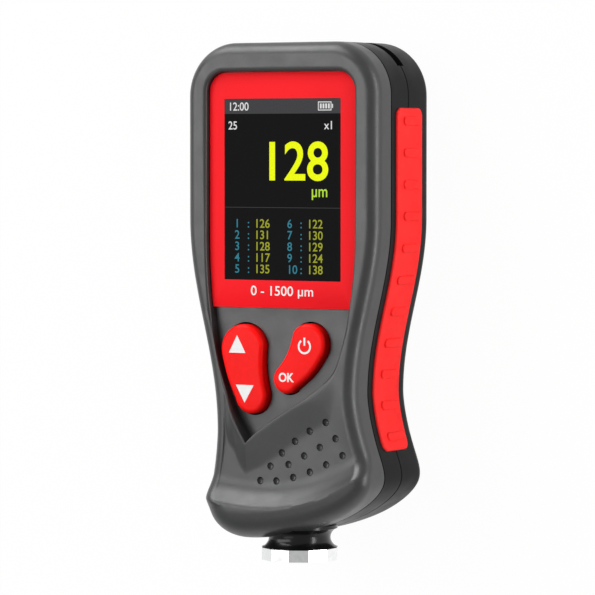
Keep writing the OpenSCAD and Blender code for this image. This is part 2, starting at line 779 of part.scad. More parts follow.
module window_panel() {
    color("#ee2830")
        intersection() {
            slab(floor_z, panel_z, recess_out(-panel_fit));
            translate([-body_half, y_at(panel_bottom_d), floor_z])
                cube([body_w, panel_bottom_d, panel_t]);
        }
}

module display_gasket() {
    color("#1b1b1c")
        difference() {
            bay_box(module_half, module_top_d, module_bottom_d, module_z + module_t, floor_under_z);
            bay_box(module_half - gasket_w, module_top_d + gasket_w, module_bottom_d - gasket_w, 0, rim_z);
        }
}

module display_module() {
    glass_t = 1.2;
    frame_edge = 0.6;
    color("#101114")
        union() {
            bay_box(module_half, module_top_d, module_bottom_d, module_z + module_t - glass_t,
                module_z + module_t);
            bay_box(module_half - frame_edge, module_top_d + frame_edge, module_bottom_d - frame_edge,
                module_z, module_z + module_t);
        }
}

module circuit_board() {
    color("#1f6b3a")
        difference() {
            intersection() {
                slab(board_z, board_top_z, inset(shell_wall + board_gap));
                bay_box(body_half, 0, board_bottom_d, 0, rim_z);
            }
            for (s = screws)
                translate([s.x, y_at(s.y), 0])
                    cylinder(rim_z, r = screw_r + overlap);
        }
}

// One push switch under each lobe of each key
module key_switches() {
    plunger_r = 1;
    plunger_gap = 0.35;
    color("#c9c9c9")
        for (k = [arrow, power])
            for (p = [k[0], k[1]])
                translate([p.x, p.y, board_top_z]) {
                    translate([-switch_w / 2, -switch_w / 2, 0])
                        cube([switch_w, switch_w, switch_h]);
                    cylinder(key_bottom_z - plunger_gap - board_top_z, r = plunger_r);
                }
}

// Rocker key: rounded cap, open underneath at the pivot bar
module rocker(k) {
    slot_w = 1.5 * pivot_r;
    width = k[2] + k[3] + 4;
    straight = ring_at(reverse(bean(k, 0)), key_bottom_z);
    difference() {
        stack(concat([straight],
            [for (a = [0 : 22.5 : 90])
                ring_at(reverse(bean(k, -key_round * (1 - cos(a)))), key_top_z - key_round * (1 - sin(a)))]),
            key_mid(k));
        on_pivot(k)
            cylinder(width, r = pivot_r + pivot_fit, center = true);
        translate([key_mid(k).x, key_mid(k).y, key_bottom_z])
            rotate([0, 0, atan2(key_across(k).y, key_across(k).x)])
                translate([-width / 2, -slot_w / 2, -small])
                    cube([width, slot_w, pivot_z - key_bottom_z]);
    }
}

module arrow_key() {
    color("#ec2229")
        rocker(arrow);
}

module power_key() {
    color("#ec2229")
        rocker(power);
}

module probe_neck() {
    n_neck = 12;
    waist_power = 0.6;
    waist = [for (i = [0 : n_neck])
        let (t = i / n_neck)
        [mix(neck_r, neck_waist_r, pow(sin(180 * t), waist_power)), mix(flange_end_d, neck_end_d, t)]];
    color("#1d1d1f")
        on_probe_axis()
            rotate_extrude()
                polygon(concat(
                    [[tube_bore_r, tube_top_d], [tube_r, tube_top_d], [tube_r, neck_top_d]],
                    [[neck_r, neck_top_d]], waist,
                    [[rod_r + rod_fit, neck_end_d], [rod_r + rod_fit, shoulder_in_d]],
                    [[tube_bore_r, shoulder_in_d]]));
}

module probe_foot() {
    notch_slope = 1.3;
    notch_half = notch_depth * notch_slope;
    color("#c8cacc")
        difference() {
            on_probe_axis()
                translate([0, 0, neck_end_d])
                    rotate([0, 0, 15])
                        cylinder(foot_h, r = foot_r, $fn = 12);
            probe_cylinder(neck_end_d - 1, foot_end_d + 1, rod_r + overlap);
            translate([0, y_at(foot_end_d), probe_z - 2 * foot_r])
                linear_extrude(4 * foot_r)
                    polygon([[-notch_half - small, -small], [notch_half + small, -small], [0, notch_depth]]);
        }
}

module probe_tip() {
    point_d = foot_end_d + tip_travel;
    plate_fit = 0.2;
    plate_r = tube_bore_r - plate_fit;
    nose_len = 0.9;
    cone_d = foot_end_d - nose_len;
    ball = [for (a = [30 : 15 : 90]) [tip_r * cos(a), point_d - tip_r + tip_r * sin(a)]];
    color("#b9bcc0")
        on_probe_axis()
            rotate_extrude()
                polygon(concat(
                    [[0, stem_top_d], [plate_r, stem_top_d], [plate_r, coil_top_d]],
                    [[stem_r, coil_top_d], [stem_r, head_top_d], [tube_bore_r - rod_fit, head_top_d]],
                    [[tube_bore_r - rod_fit, shoulder_in_d], [rod_r, shoulder_in_d], [rod_r, cone_d]],
                    ball));
}

module probe_winding() {
    winding_gap = 0.4;
    color("#b5652b")
        on_probe_axis()
            translate([0, 0, coil_top_d])
                rotate_extrude()
                    translate([stem_r, 0])
                        square([tube_bore_r - winding_gap - stem_r, winding_len]);
}

module probe_cap() {
    plate = 1.5;
    spigot_r = tube_bore_r - rod_fit;
    color("#2b2b2d")
        on_probe_axis()
            rotate_extrude()
                polygon([[0, tube_top_d - plate], [tube_r, tube_top_d - plate], [tube_r, tube_top_d],
                    [spigot_r, tube_top_d], [spigot_r, spring_seat_d], [0, spring_seat_d]]);
}

// Wire coil between two heights, from one radius to another
module coil(z0, z1, r0, r1, wire, turns) {
    sides = 6;
    per_turn = 14;
    n = turns * per_turn;
    rings = [for (i = [0 : n])
        let (t = i / n, a = 360 * turns * t, r = mix(r0, r1, t), z = mix(z0 + wire, z1 - wire, t))
        [for (j = [0 : sides - 1])
            let (b = 360 * j / sides, q = r + wire * cos(b)) [q * cos(a), q * sin(a), z + wire * sin(b)]]];
    polyhedron([for (ring = rings) each ring], concat(
        [for (i = [0 : n - 1]) for (j = [0 : sides - 1])
            let (p = i * sides + j, q = i * sides + (j + 1) % sides)
            each [[p, q, q + sides], [p, q + sides, p + sides]]],
        [[for (j = [sides - 1 : -1 : 0]) j], [for (j = [0 : sides - 1]) n * sides + j]]), 2);
}

module probe_spring() {
    spring_gap = 0.5;
    turns = 3;
    coil_r = tube_bore_r - spring_gap - spring_wire_r;
    color("#a8abb0")
        on_probe_axis()
            coil(spring_seat_d, stem_top_d, coil_r, coil_r, spring_wire_r, turns);
}

module battery_cells() {
    cap_r = 1.9;
    cap_h = 1;
    for (side = [-1, 1])
        color(side > 0 ? "#c9a227" : "#b8942a")
            translate([side * cell_x, y_at((bay_top_d + bay_bottom_d + side * -cell_spring_len) / 2), cell_z])
                rotate([side * -90, 0, 0])
                    translate([0, 0, -cell_len / 2]) {
                        cylinder(cell_len - cap_h, r = cell_r);
                        cylinder(cell_len, r = cap_r);
                    }
}

module battery_contacts() {
    plate = 8.6;
    color("#c7b48a")
        for (side = [-1, 1])
            for (d = [bay_top_d, bay_bottom_d - contact_t])
                translate([side * cell_x - plate / 2, y_at(d + contact_t), cell_z - plate / 2])
                    cube([plate, contact_t, plate]);
}

module battery_springs() {
    wire = 0.3;
    base_r = 3.6;
    end_r = 2.2;
    turns = 4;
    color("#b4b7bb")
        for (side = [-1, 1])
            translate([side * cell_x,
                side > 0 ? y_at(bay_bottom_d - contact_t) : y_at(bay_top_d + contact_t), cell_z])
                rotate([side * -90, 0, 0])
                    coil(0, cell_spring_len, base_r, end_r, wire, turns);
}

module case_screws() {
    head_t = 1.5;
    reach = 3.4;
    socket_r = 0.9;
    socket_depth = 0.8;
    color("#8f9296")
        for (s = screws)
            translate([s.x, y_at(s.y), screw_sink])
                difference() {
                    union() {
                        cylinder(board_top_z + reach - screw_sink, r = screw_r);
                        translate([0, 0, -head_t])
                            cylinder(head_t, r = screw_head_r);
                    }
                    translate([0, 0, -head_t - small])
                        cylinder(socket_depth, r = socket_r, $fn = 6);
                }
}

front_cover();
mid_frame();
rear_cover();
side_grip_right();
side_grip_left();
window_panel();
display_gasket();
display_module();
circuit_board();
key_switches();
arrow_key();
power_key();
probe_neck();
probe_foot();
probe_tip();
probe_winding();
probe_cap();
probe_spring();
battery_cover();
battery_cells();
battery_contacts();
battery_springs();
case_screws();
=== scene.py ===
"""Hand-held coating thickness gauge: its visible pieces and a plain studio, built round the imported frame."""

import math

import bmesh
import bpy
from bpy.props import FloatProperty, FloatVectorProperty, IntProperty, PointerProperty
from mathutils import Matrix, Vector


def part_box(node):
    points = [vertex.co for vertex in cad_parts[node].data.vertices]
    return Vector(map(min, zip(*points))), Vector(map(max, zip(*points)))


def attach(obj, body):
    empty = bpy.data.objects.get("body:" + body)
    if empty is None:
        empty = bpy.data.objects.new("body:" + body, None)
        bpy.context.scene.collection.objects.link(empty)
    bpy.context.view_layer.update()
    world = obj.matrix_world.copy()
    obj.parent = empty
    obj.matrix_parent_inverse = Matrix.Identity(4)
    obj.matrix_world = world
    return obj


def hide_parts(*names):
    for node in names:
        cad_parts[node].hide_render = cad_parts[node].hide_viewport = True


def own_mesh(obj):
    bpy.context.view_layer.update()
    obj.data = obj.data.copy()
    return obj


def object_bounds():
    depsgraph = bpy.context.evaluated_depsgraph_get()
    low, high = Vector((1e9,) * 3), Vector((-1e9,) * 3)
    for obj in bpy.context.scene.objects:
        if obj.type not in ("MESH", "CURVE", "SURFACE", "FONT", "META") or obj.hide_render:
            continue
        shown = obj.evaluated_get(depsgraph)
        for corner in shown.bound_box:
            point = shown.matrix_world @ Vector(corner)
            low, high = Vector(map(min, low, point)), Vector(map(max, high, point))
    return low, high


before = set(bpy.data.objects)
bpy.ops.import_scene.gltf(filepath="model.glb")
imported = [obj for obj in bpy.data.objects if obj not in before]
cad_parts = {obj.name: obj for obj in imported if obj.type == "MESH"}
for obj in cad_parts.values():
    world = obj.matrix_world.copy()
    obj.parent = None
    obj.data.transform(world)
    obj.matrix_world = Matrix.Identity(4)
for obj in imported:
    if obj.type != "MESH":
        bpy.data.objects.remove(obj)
CAD_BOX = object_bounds()

bl_info = {
    "name": "Coating Thickness Gauge",
    "version": (1, 0, 0),
    "blender": (4, 5, 0),
    "location": "View3D > Sidebar > Gauge",
    "description": "Builds a hand-held coating thickness gauge and a plain studio for it",
    "category": "Add Mesh",
}

TOP_Y = CAD_BOX[1][1]
HOUSING = "housing"

# Stations along one half of the housing outline
FLAT, ARC, STRAIGHT, WAIST, FLARE, BOTTOM = 10, 24, 12, 34, 30, 40

# A place on the front is a pair: sideways place and distance below the top end
# Key outlines: upper lobe, lower lobe, their radii, bend and waist pinch
ARROW_KEY = ((-0.0101, 0.0691), (-0.0079, 0.0794), 0.0057, 0.0042, -0.0005, 0.0001)
POWER_KEY = ((0.0071, 0.0676), (0.0014, 0.0755), 0.0047, 0.0033, 0.0007, 0.0001)
# Triangles on the arrow key
ARROWS = (((-0.0112, 0.0659), (-0.0134, 0.0699), (-0.00895, 0.0699)),
          ((-0.01155, 0.0771), (-0.0092, 0.0811), (-0.0068, 0.0771)))
# Signs on the power key
POWER_SIGN, OK_SIGN = (0.0066, 0.0680), (0.00175, 0.0760)
# Rows of dimples: first place, step, bend and count
DIMPLE_ROWS = (
    ((0.0121, 0.0848), (-0.0044, 0.00195), (0.00019, 0.00016), 6),
    ((0.0146, 0.0883), (-0.0041, 0.0021), (0, 0), 4),
    ((0.0164, 0.092), (-0.0042, 0.00245), (-0.00003, -0.00021), 5),
)
SCREWS = ((0.0145, 0.0076), (-0.0145, 0.0076), (0.014, 0.092), (-0.012, 0.092))

# The screen, in millimetres from its upper left corner
# Strips: left, right, upper and lower edge
SCREEN_BARS = ((0.05, 30.55, 0.05, 3.4), (0.05, 30.55, 24.4, 24.52))
BATTERY_SIGN = (
    (24.7, 28.2, 0.75, 0.95), (24.7, 28.2, 2.55, 2.75), (24.7, 24.9, 0.95, 2.55), (28.0, 28.2, 0.95, 2.55),
    (28.3, 28.6, 1.3, 2.2), *((25.2 + 0.7 * i, 25.65 + 0.7 * i, 1.2, 2.3) for i in range(4)))
# Small words, their places and their sides
SCREEN_WORDS = (("25", 1.0, 6.9, "LEFT"), ("x1", 28.8, 6.9, "RIGHT"), ("12:00", 1.0, 2.65, "LEFT"))
# Columns of readings: left edge and values, then the lines and places that they share
SCREEN_COLUMNS = ((2.7, (126, 131, 128, 117, 135)), (16.6, (122, 130, 129, 124, 138)))
ROW_TOP, ROW_PITCH, COLON_SHIFT, VALUE_SHIFT = 29.0, 2.56, 3.4, 9.4
LARGE_PLACE, UNIT_PLACE = (27.6, 18.2), (27.3, 22.0)
# In metres: heights of the digits, and corner radius of the screen
WORD_SIZE, LARGE_SIZE, UNIT_SIZE, ROW_SIZE, CAPTION_SIZE, OK_SIZE = 0.0018, 0.0084, 0.0026, 0.0019, 0.0021, 0.0019
SCREEN_CORNER = 0.0002

# Point that the lamps aim at, and the lamps: place, width and height
LAMP_AIM = Vector((0, 0, 0.015))
LAMPS = {
    "main": ((-0.52, 0.1, 0.85), 0.5, 1.04),
    "top": ((-0.5, 0.78, 0.38), 0.6, 0.75),
    "low": ((0.8, 0.04, 0.07), 1.2, 0.14),
    "fill": ((-0.22, -0.57, 0.8), 0.5, 0.4),
}

# Angle in degrees above which an edge stays sharp
SHARP = 35.0
# Thickness of printed and lit marks
FILM = 0.00001
# How far a cutter reaches past the piece that it cuts
PAST = 0.001
# Height of a digit as a share of the font's size
DIGIT = 0.69


def length(label, text, value):
    """A length in metres that a user may change."""
    return FloatProperty(name=label, description=text, default=value, unit="LENGTH", precision=5)


def place(label, text, value):
    """Two lengths, such as a sideways place and a distance below the top end."""
    return FloatVectorProperty(name=label, description=text, default=value, size=2, unit="LENGTH", precision=5)


def tint(label, text, value):
    """A surface colour."""
    return FloatVectorProperty(name=label, description=text, default=value, size=3, subtype="COLOR", min=0, max=1)


def plain(label, text, value, unit="NONE"):
    """A number that isn't a length."""
    return FloatProperty(name=label, description=text, default=value, unit=unit)


class GaugeHousing(bpy.types.PropertyGroup):
    """Sizes of the covers."""

    body_length: length("Length", "Length of the housing without the probe", 0.112)
    body_width: length("Width", "Width of the housing above the waist", 0.0502)
    corner: length("Top corner", "Radius of the top corners", 0.012)
    rim_z: length("Rim height", "Height of the flat front rim", 0.0254)
    front_parting: length("Front parting", "Height of the joint under the front cover", 0.0185)
    rear_parting: length("Rear parting", "Height of the joint above the rear cover", 0.0109)
    rear_round: length("Back rounding", "Rounding of the back edge", 0.0032)
    pad_step: length("Rest pad", "Height of the flat rest pad on the back", 0.00025)
    wall: length("Wall", "Wall of the mid frame", 0.0022)
    front_wall: length("Front wall", "Wall of the front cover", 0.0018)
    joint_edge: length("Joint edge", "Small bevel at the joints of the covers", 0.00022)
    waist_start: length("Waist start", "Distance below the top where the sides draw in", 0.0395)
    waist_right: place("Right waist", "Half width and distance of the right waist", (0.0191, 0.0785))
    waist_left: place("Left waist", "Half width and distance of the left waist", (0.0177, 0.0875))
    flare_right: place("Right flare", "Half width and distance of the right flare", (0.0242, 0.0972))
    flare_left: place("Left flare", "Half width and distance of the left flare", (0.0202, 0.1033))
    flare_power: plain("Flare curve", "How late the sides swing out to the flare", 1.6)
    bottom_x: length("Lowest point", "Sideways place of the lowest point", -0.01)
    bottom_right: plain("Right fullness", "Fullness of the bottom curve on the right", 1.7)
    bottom_left: plain("Left fullness", "Fullness of the bottom curve on the left", 2.2)
    rim_round: length("Rim rounding", "Width of the front edge rounding", 0.003)
    rim_drop: length("Rim drop", "Height of the front edge rounding", 0.0032)
    lip_z: length("Lip height", "Height of the lip above the probe", 0.028)
    lip_round: length("Lip rounding", "Width of the lip rounding", 0.0066)
    lip_drop: length("Lip drop", "Height of the lip rounding", 0.007)
    field_z: length("Field height", "Height of the dimpled field", 0.025)
    ridge_z: length("Collar height", "Height of the collar round the recess tip", 0.0266)
    crest: place("Lip crest", "Lowest point of the lip crest", (-0.0035, 0.1046))
    crest_right: plain("Right crest bend", "Bend of the lip crest on the right", 12.5)
    crest_left: plain("Left crest bend", "Bend of the lip crest on the left", 6.0)
    slope_width: length("Lip slope", "Width of the slope up to the lip", 0.006)
    collar_width: length("Collar width", "Width of the collar slope", 0.007)
    recess_edge: length("Recess edge", "Rounding of the recess edge", 0.0004)
    rim_edge: length("Rim inner edge", "Width of the rounding on the inner edge of the rim", 0.0012)
    rim_sink: length("Rim inner drop", "Height of the rounding on the inner edge of the rim", 0.0007)
    dimple_width: length("Dimple width", "Diameter of a grip dimple", 0.0017)
    dimple_depth: length("Dimple depth", "Depth of a grip dimple", 0.00065)
    recess_half: length("Recess half width", "Half width of the recess", 0.0195)
    recess_top: length("Recess top", "Distance of the recess from the top", 0.0065)
    recess_corner: length("Recess corner", "Radius of the upper recess corners", 0.0046)
    recess_narrow: length("Recess narrowing", "Distance from the top where the recess narrows", 0.044)
    recess_shoulder: place("Recess shoulder", "Right shoulder of the recess", (0.0146, 0.0723))
    recess_tip: place("Recess tip", "Pointed lower end of the recess", (-0.0082, 0.09))
    floor_z: length("Recess floor", "Height of the recess floor", 0.023)
    floor_t: length("Floor thickness", "Thickness of the recess floor", 0.0016)
    slit_half: length("Strap slit", "Half height of the strap slit", 0.0014)
    bay_wall: length("Battery wall", "Wall round the battery bay", 0.0012)
    screw_radius: length("Screw hole", "Radius of a screw hole", 0.0023)
    screw_depth: length("Screw depth", "Depth of a screw hole", 0.00751)


class GaugeFittings(bpy.types.PropertyGroup):
    """Sizes of the window, keys, grips and probe."""

    panel_z: length("Panel height", "Height of the window panel's face", 0.024)
    panel_fit: length("Panel gap", "Gap round the window panel", 0.00015)
    panel_edge: length("Panel edge", "Rounding of the panel's edge", 0.00018)
    panel_bottom: length("Panel end", "Distance of the lower panel edge from the top", 0.0598)
    caption: length("Caption", "Distance of the panel's caption from the top", 0.0568)
    screen: place("Screen", "Width and height of the visible screen", (0.0306, 0.0408))
    screen_top: length("Screen top", "Distance of the screen from the top", 0.0126)
    key_top: length("Key height", "Height of the key tops", 0.0252)
    key_bottom: length("Key underside", "Height of the key undersides", 0.0196)
    key_round: length("Key rounding", "Rounding of the key edges", 0.0011)
    key_gap: length("Key gap", "Gap round a key", 0.0004)
    grip_top: length("Grip top", "Distance of the grips from the top", 0.0147)
    grip_length: length("Grip length", "Length of a side grip", 0.0769)
    grip_width: length("Grip width", "Width of a side grip", 0.0113)
    grip_z: length("Grip height", "Height of the rear edge of a grip", 0.0052)
    grip_proud: length("Grip rise", "How far a grip stands out of the wall", 0.0005)
    grip_corner: length("Grip corner", "Corner radius of a grip", 0.002)
    grip_bars: IntProperty(name="Grip bars", description="Number of raised bars on a grip", default=11, min=3, max=16)
    bar_length: length("Bar length", "Length of a grip bar", 0.0075)
    bar_width: length("Bar width", "Width of a grip bar", 0.002)
    bar_proud: length("Bar rise", "Height of a grip bar", 0.0004)
    bar_shift: length("Bar shift", "How far the bars lie towards the back", 0.0007)
    probe_z: length("Probe height", "Height of the probe axis", 0.0164)
    neck_radius: length("Neck radius", "Radius of the probe neck at its ends", 0.0086)
    neck_waist: length("Neck waist", "Radius of the probe neck at its waist", 0.007)
    neck_length: length("Neck length", "How far the neck stands out of the housing", 0.0024)
    neck_seat: length("Neck seat", "Depth of the neck seat in the housing", 0.0034)
    flange: length("Neck flange", "Thickness of the neck flange", 0.001)
    tube: place("Probe tube", "Inner and outer radius of the tube behind the neck", (0.0042, 0.0062))
    tip_hole: length("Tip hole", "Radius of the hole for the tip in the neck", 0.0032)
    neck_floor: length("Neck floor", "Thickness of the neck's end round the tip hole", 0.0022)
    foot_radius: length("Foot radius", "Radius of the foot across its corners", 0.0088)
    foot_bore: length("Foot bore", "Radius of the bore of the foot", 0.0033)
    foot_height: length("Foot height", "Height of the probe foot", 0.0024)
    foot_lap: length("Foot lap", "How far the foot laps over the neck", 0.0005)
    foot_bevel: length("Foot bevel", "Bevel at the ends of the foot", 0.00012)
    notch: length("Foot notch", "Depth of the V notch in the foot", 0.0013)
    spring_wire: length("Spring wire", "Wire radius of the probe spring", 0.0003)


class GaugeFinish(bpy.types.PropertyGroup):
    """Colours of the finishes."""

    grey: tint("Grey plastic", "Front cover", (0.03, 0.0303, 0.0311))
    black: tint("Black plastic", "Mid frame, rear cover and probe neck", (0.005, 0.005, 0.0054))
    panel_red: tint("Panel red", "Print on the window panel", (1.0, 0.012, 0.019))
    key_red: tint("Key red", "Rocker keys", (1.0, 0.007, 0.006))
    grip_red: tint("Grip red", "Rubber of the side grips", (0.95, 0.022, 0.02))
    ink: tint("White ink", "Marks on keys and panel", (0.86, 0.86, 0.85))
    screen: tint("Screen black", "Dark face of the display", (0.0035, 0.0035, 0.004))
    bars: tint("Screen bars", "Header and rule on the screen", (0.048, 0.048, 0.052))
    marks: tint("Screen marks", "Small white words on the screen", (0.72, 0.72, 0.72))
    digits: tint("Digits", "Large reading", (0.85, 0.95, 0.0))
    unit: tint("Unit", "Unit below the large reading", (0.45, 0.72, 0.05))
    labels: tint("Labels", "Row labels", (0.03, 0.2, 0.27))
    values: tint("Values", "Row readings", (0.33, 0.35, 0.02))
    chrome: tint("Chrome", "Probe foot", (0.93, 0.935, 0.94))


class GaugeStudio(bpy.types.PropertyGroup):
    """Camera and light."""

    yaw: plain("Yaw", "Turn of the view to the right side", math.radians(31.5), "ROTATION")
    pitch: plain("Pitch", "Tilt of the view to the top end", math.radians(2.3), "ROTATION")
    view_angle: plain("View angle", "Angle of view", math.radians(9.07), "ROTATION")
    distance: length("Distance", "Distance of the camera", 0.85)
    target: FloatVectorProperty(name="Target", description="Point at the middle of the picture", size=3,
                                default=(-0.00145, 0.00125, 0.015), unit="LENGTH", precision=5)
    main_power: plain("Main lamp", "Power of the large lamp over the front", 5.8, "POWER")
    top_power: plain("Top lamp", "Power of the lamp beyond the top end", 8.8, "POWER")
    low_power: plain("Low lamp", "Power of the low lamp at the right", 5.6, "POWER")
    fill_power: plain("Fill lamp", "Power of the weak lamp below the front", 0.7, "POWER")
    ambient: plain("Ambient", "Level of the surrounding light", 0.18)
    gloss: plain("Gloss", "Share of the white surround that gloss sees", 0.36)
    glow: plain("Floor glow", "Share of plain white in the floor as the camera sees it", 0.97)


# Small helpers for lines and meshes


def mix(a, b, t):
    return a + (b - a) * t


def clamp(t):
    return min(max(t, 0.0), 1.0)


def ease(t):
    return (1 - math.cos(math.pi * t)) / 2


def smoothstep(t):
    return t * t * (3 - 2 * t)


def polar(angle, radius=1.0):
    return Vector((math.cos(angle), math.sin(angle))) * radius


def quarter(steps):
    """Cosine and sine of equal steps over a quarter turn."""
    angles = [math.pi / 2 * i / steps for i in range(steps + 1)]
    return [(math.cos(a), math.sin(a)) for a in angles]


def y_at(distance):
    """Y of a distance below the top end."""
    return TOP_Y - distance


def spot(pair):
    """A place on the front as a point."""
    return Vector((pair[0], y_at(pair[1])))


def lift(point, z):
    return Vector((point[0], point[1], z))


def levels(stack):
    """Rings from pairs of a flat line and its height."""
    return [[lift(p, z) for p in line] for line, z in stack]


def curve(start, end, leave, arrive):
    """A Bezier curve as a function of its share, with its handles given from its two ends."""
    a, b, c, d = start, start + Vector(leave), end + Vector(arrive), end

    def at(t):
        s = 1 - t
        return a * s ** 3 + b * (3 * t * s * s) + c * (3 * t * t * s) + d * t ** 3

    return at


def add_ring(bm, points):
    return [bm.verts.new(p) for p in points]


def bridge(bm, low, high):
    """Quads between two closed rings of the same length."""
    count = len(low)
    for i in range(count):
        j = (i + 1) % count
        bm.faces.new((low[i], low[j], high[j], high[i]))


def loft(bm, rings):
    made = [add_ring(bm, ring) for ring in rings]
    for low, high in zip(made, made[1:]):
        bridge(bm, low, high)
    return made


def fill(bm, *rings):
    """Flat triangles inside the first ring and outside the others."""
    edges = []
    for ring in rings:
        for pair in zip(ring, ring[1:] + ring[:1]):
            edges.append(bm.edges.get(pair) or bm.edges.new(pair))
    bmesh.ops.triangle_fill(bm, use_beauty=True, use_dissolve=False, edges=edges)


def smooth(mesh, sharp=SHARP):
    mesh.polygons.foreach_set("use_smooth", [True] * len(mesh.polygons))
    mesh.set_sharp_from_angle(angle=math.radians(sharp))


def dress(mesh, material):
    mesh.materials.clear()
    mesh.materials.append(material)


def new_object(name, data, material=None):
    obj = bpy.data.objects.new(name, data)
    bpy.context.scene.collection.objects.link(obj)
    if material:
        dress(data, material)
    return obj


def build(bm, name, material=None, sharp=SHARP):
    """Turns a bmesh into an object with outward faces, smooth apart from its sharp edges."""
    bmesh.ops.remove_doubles(bm, verts=bm.verts, dist=1e-7)
    bmesh.ops.recalc_face_normals(bm, faces=bm.faces)
    mesh = bpy.data.meshes.new(name)
    bm.to_mesh(mesh)
    bm.free()
    smooth(mesh, sharp)
    return new_object(name, mesh, material)


def cap_ends(bm, rings, concave=False):
    """Closes both ends of a loft, with triangles where an end is concave."""
    for end in (rings[0], rings[-1]):
        if concave:
            fill(bm, end)
        else:
            bm.faces.new(end)


def solid(name, rings, material=None, sharp=SHARP, concave=False):
    """A lofted object with its two ends closed."""
    bm = bmesh.new()
    cap_ends(bm, loft(bm, rings), concave)
    return build(bm, name, material, sharp)


def cloud(name, points):
    """An object of loose points."""
    mesh = bpy.data.meshes.new(name)
    mesh.from_pydata(points, [], [])
    return new_object(name, mesh)


def prism(name, points, z0, z1, material=None):
    return solid(name, levels([(points, z0), (points, z1)]), material)


def block(name, half, d0, d1, z0, z1):
    """Box across the middle, between two distances below the top end."""
    return prism(name, [spot(p) for p in ((-half, d1), (half, d1), (half, d0), (-half, d0))], z0, z1)


def turned(name, profile, origin, axis, steps, material=None):
    """A body of revolution from a closed line of (radius, way along the axis) pairs."""
    axis = Vector(axis)
    side = axis.orthogonal().normalized()
    other = axis.cross(side)
    bm = bmesh.new()
    rows = []
    for radius, way in profile:
        base = Vector(origin) + axis * way
        if radius < 1e-6:
            rows.append([bm.verts.new(base)] * steps)
            continue
        angles = [2 * math.pi * i / steps for i in range(steps)]
        rows.append([bm.verts.new(base + (side * math.cos(a) + other * math.sin(a)) * radius) for a in angles])
    for low, high in zip(rows, rows[1:] + rows[:1]):
        for i in range(steps):
            j = (i + 1) % steps
            corners = list(dict.fromkeys((low[i], low[j], high[j], high[i])))
            if len(corners) > 2:
                bm.faces.new(corners)
    return build(bm, name, material)


def bake_down(obj, material=None):
    """Turns the evaluated object into a plain mesh and drops its modifiers."""
    graph = bpy.context.evaluated_depsgraph_get()
    mesh = bpy.data.meshes.new_from_object(obj.evaluated_get(graph))
    old = obj.data
    obj.modifiers.clear()
    obj.data = mesh
    bpy.data.meshes.remove(old)
    mesh.name = obj.name
    if material:
        dress(mesh, material)
    smooth(mesh)


def discard(obj):
    mesh = obj.data
    bpy.data.objects.remove(obj)
    bpy.data.meshes.remove(mesh)


def carve(obj, cutters, material=None, operation="DIFFERENCE"):
    """Cuts solids out of a piece, or joins them to it."""
    for cutter in cutters:
        step = obj.modifiers.new(cutter.name, "BOOLEAN")
        step.operation = operation
        step.solver = "EXACT"
        step.object = cutter
    bake_down(obj, material)
    for cutter in cutters:
        discard(cutter)


def settle(obj, node=None, body=HOUSING):
    """Hands a finished piece to its body and hides the solid that it stands for."""
    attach(obj, body)
    if node:
        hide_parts(node)


def paint(node, material):
    """Gives a carried-over solid its finish."""
    dress(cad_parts[node].data, material)


# Lines of the housing


def side_half(s, side, distance):
    """Half width of one side at a distance below the top end."""
    waist, flare = (s.waist_right, s.flare_right) if side > 0 else (s.waist_left, s.flare_left)
    half = s.body_width / 2
    if distance <= s.waist_start:
        return half
    if distance <= waist[1]:
        return mix(half, waist[0], ease((distance - s.waist_start) / (waist[1] - s.waist_start)))
    return mix(waist[0], flare[0], ((distance - waist[1]) / (flare[1] - waist[1])) ** s.flare_power)


def top_run(side, half, top, radius):
    """Straight top edge and round corner, from the middle outwards."""
    line = [Vector((side * (half - radius) * i / FLAT, top)) for i in range(FLAT)]
    return line + [Vector((side * (half - radius + radius * cos), top - radius + radius * sin))
                   for cos, sin in quarter(ARC)[:0:-1]]


def outline_half(s, side):
    """One half of the housing outline, from the top middle to the lowest point."""
    waist, flare = (s.waist_right, s.flare_right) if side > 0 else (s.waist_left, s.flare_left)
    marks = (s.corner, s.waist_start, waist[1], flare[1])
    line = top_run(side, s.body_width / 2, TOP_Y, s.corner)
    for first, last, count in zip(marks, marks[1:], (STRAIGHT, WAIST, FLARE)):
        stops = [mix(first, last, i / count) for i in range(count)]
        line += [Vector((side * side_half(s, side, d), y_at(d))) for d in stops]
    power = 2 / (s.bottom_right if side > 0 else s.bottom_left)
    for cos, sin in quarter(BOTTOM):
        across, down = max(0.0, cos) ** power, sin ** power
        line.append(Vector((mix(s.bottom_x, side * flare[0], across),
                            mix(y_at(flare[1]), y_at(s.body_length), down))))
    return line


def recess_half(s, side):
    """One half of the recess edge, with as many points as the outline has."""
    tip, shoulder = spot(s.recess_tip), spot(s.recess_shoulder)
    start = spot((side * s.recess_half, s.recess_narrow))
    line = top_run(side, s.recess_half, y_at(s.recess_top), s.recess_corner)
    upper = y_at(s.recess_top + s.recess_corner)
    line += [Vector((start.x, mix(upper, start.y, i / STRAIGHT))) for i in range(STRAIGHT)]
    if side > 0:
        down = curve(start, shoulder, (0, -0.010), (0.0026, 0.0058))
        point = curve(shoulder, tip, (-0.0034, -0.0072), (0.0057, 0.0062))
        runs = ((down, 0, 1, WAIST), (point, 0, 0.5, FLARE), (point, 0.5, 1, BOTTOM))
    else:
        down = curve(start, tip, (0.0002, -0.022), (-0.007, 0.010))
        runs = ((down, 0, 0.62, WAIST), (down, 0.62, 0.82, FLARE), (down, 0.82, 1, BOTTOM))
    for path, first, last, count in runs:
        line += [path(mix(first, last, i / count)) for i in range(count)]
    return line + [tip]


def closed(right, left):
    return right + left[-2:0:-1]


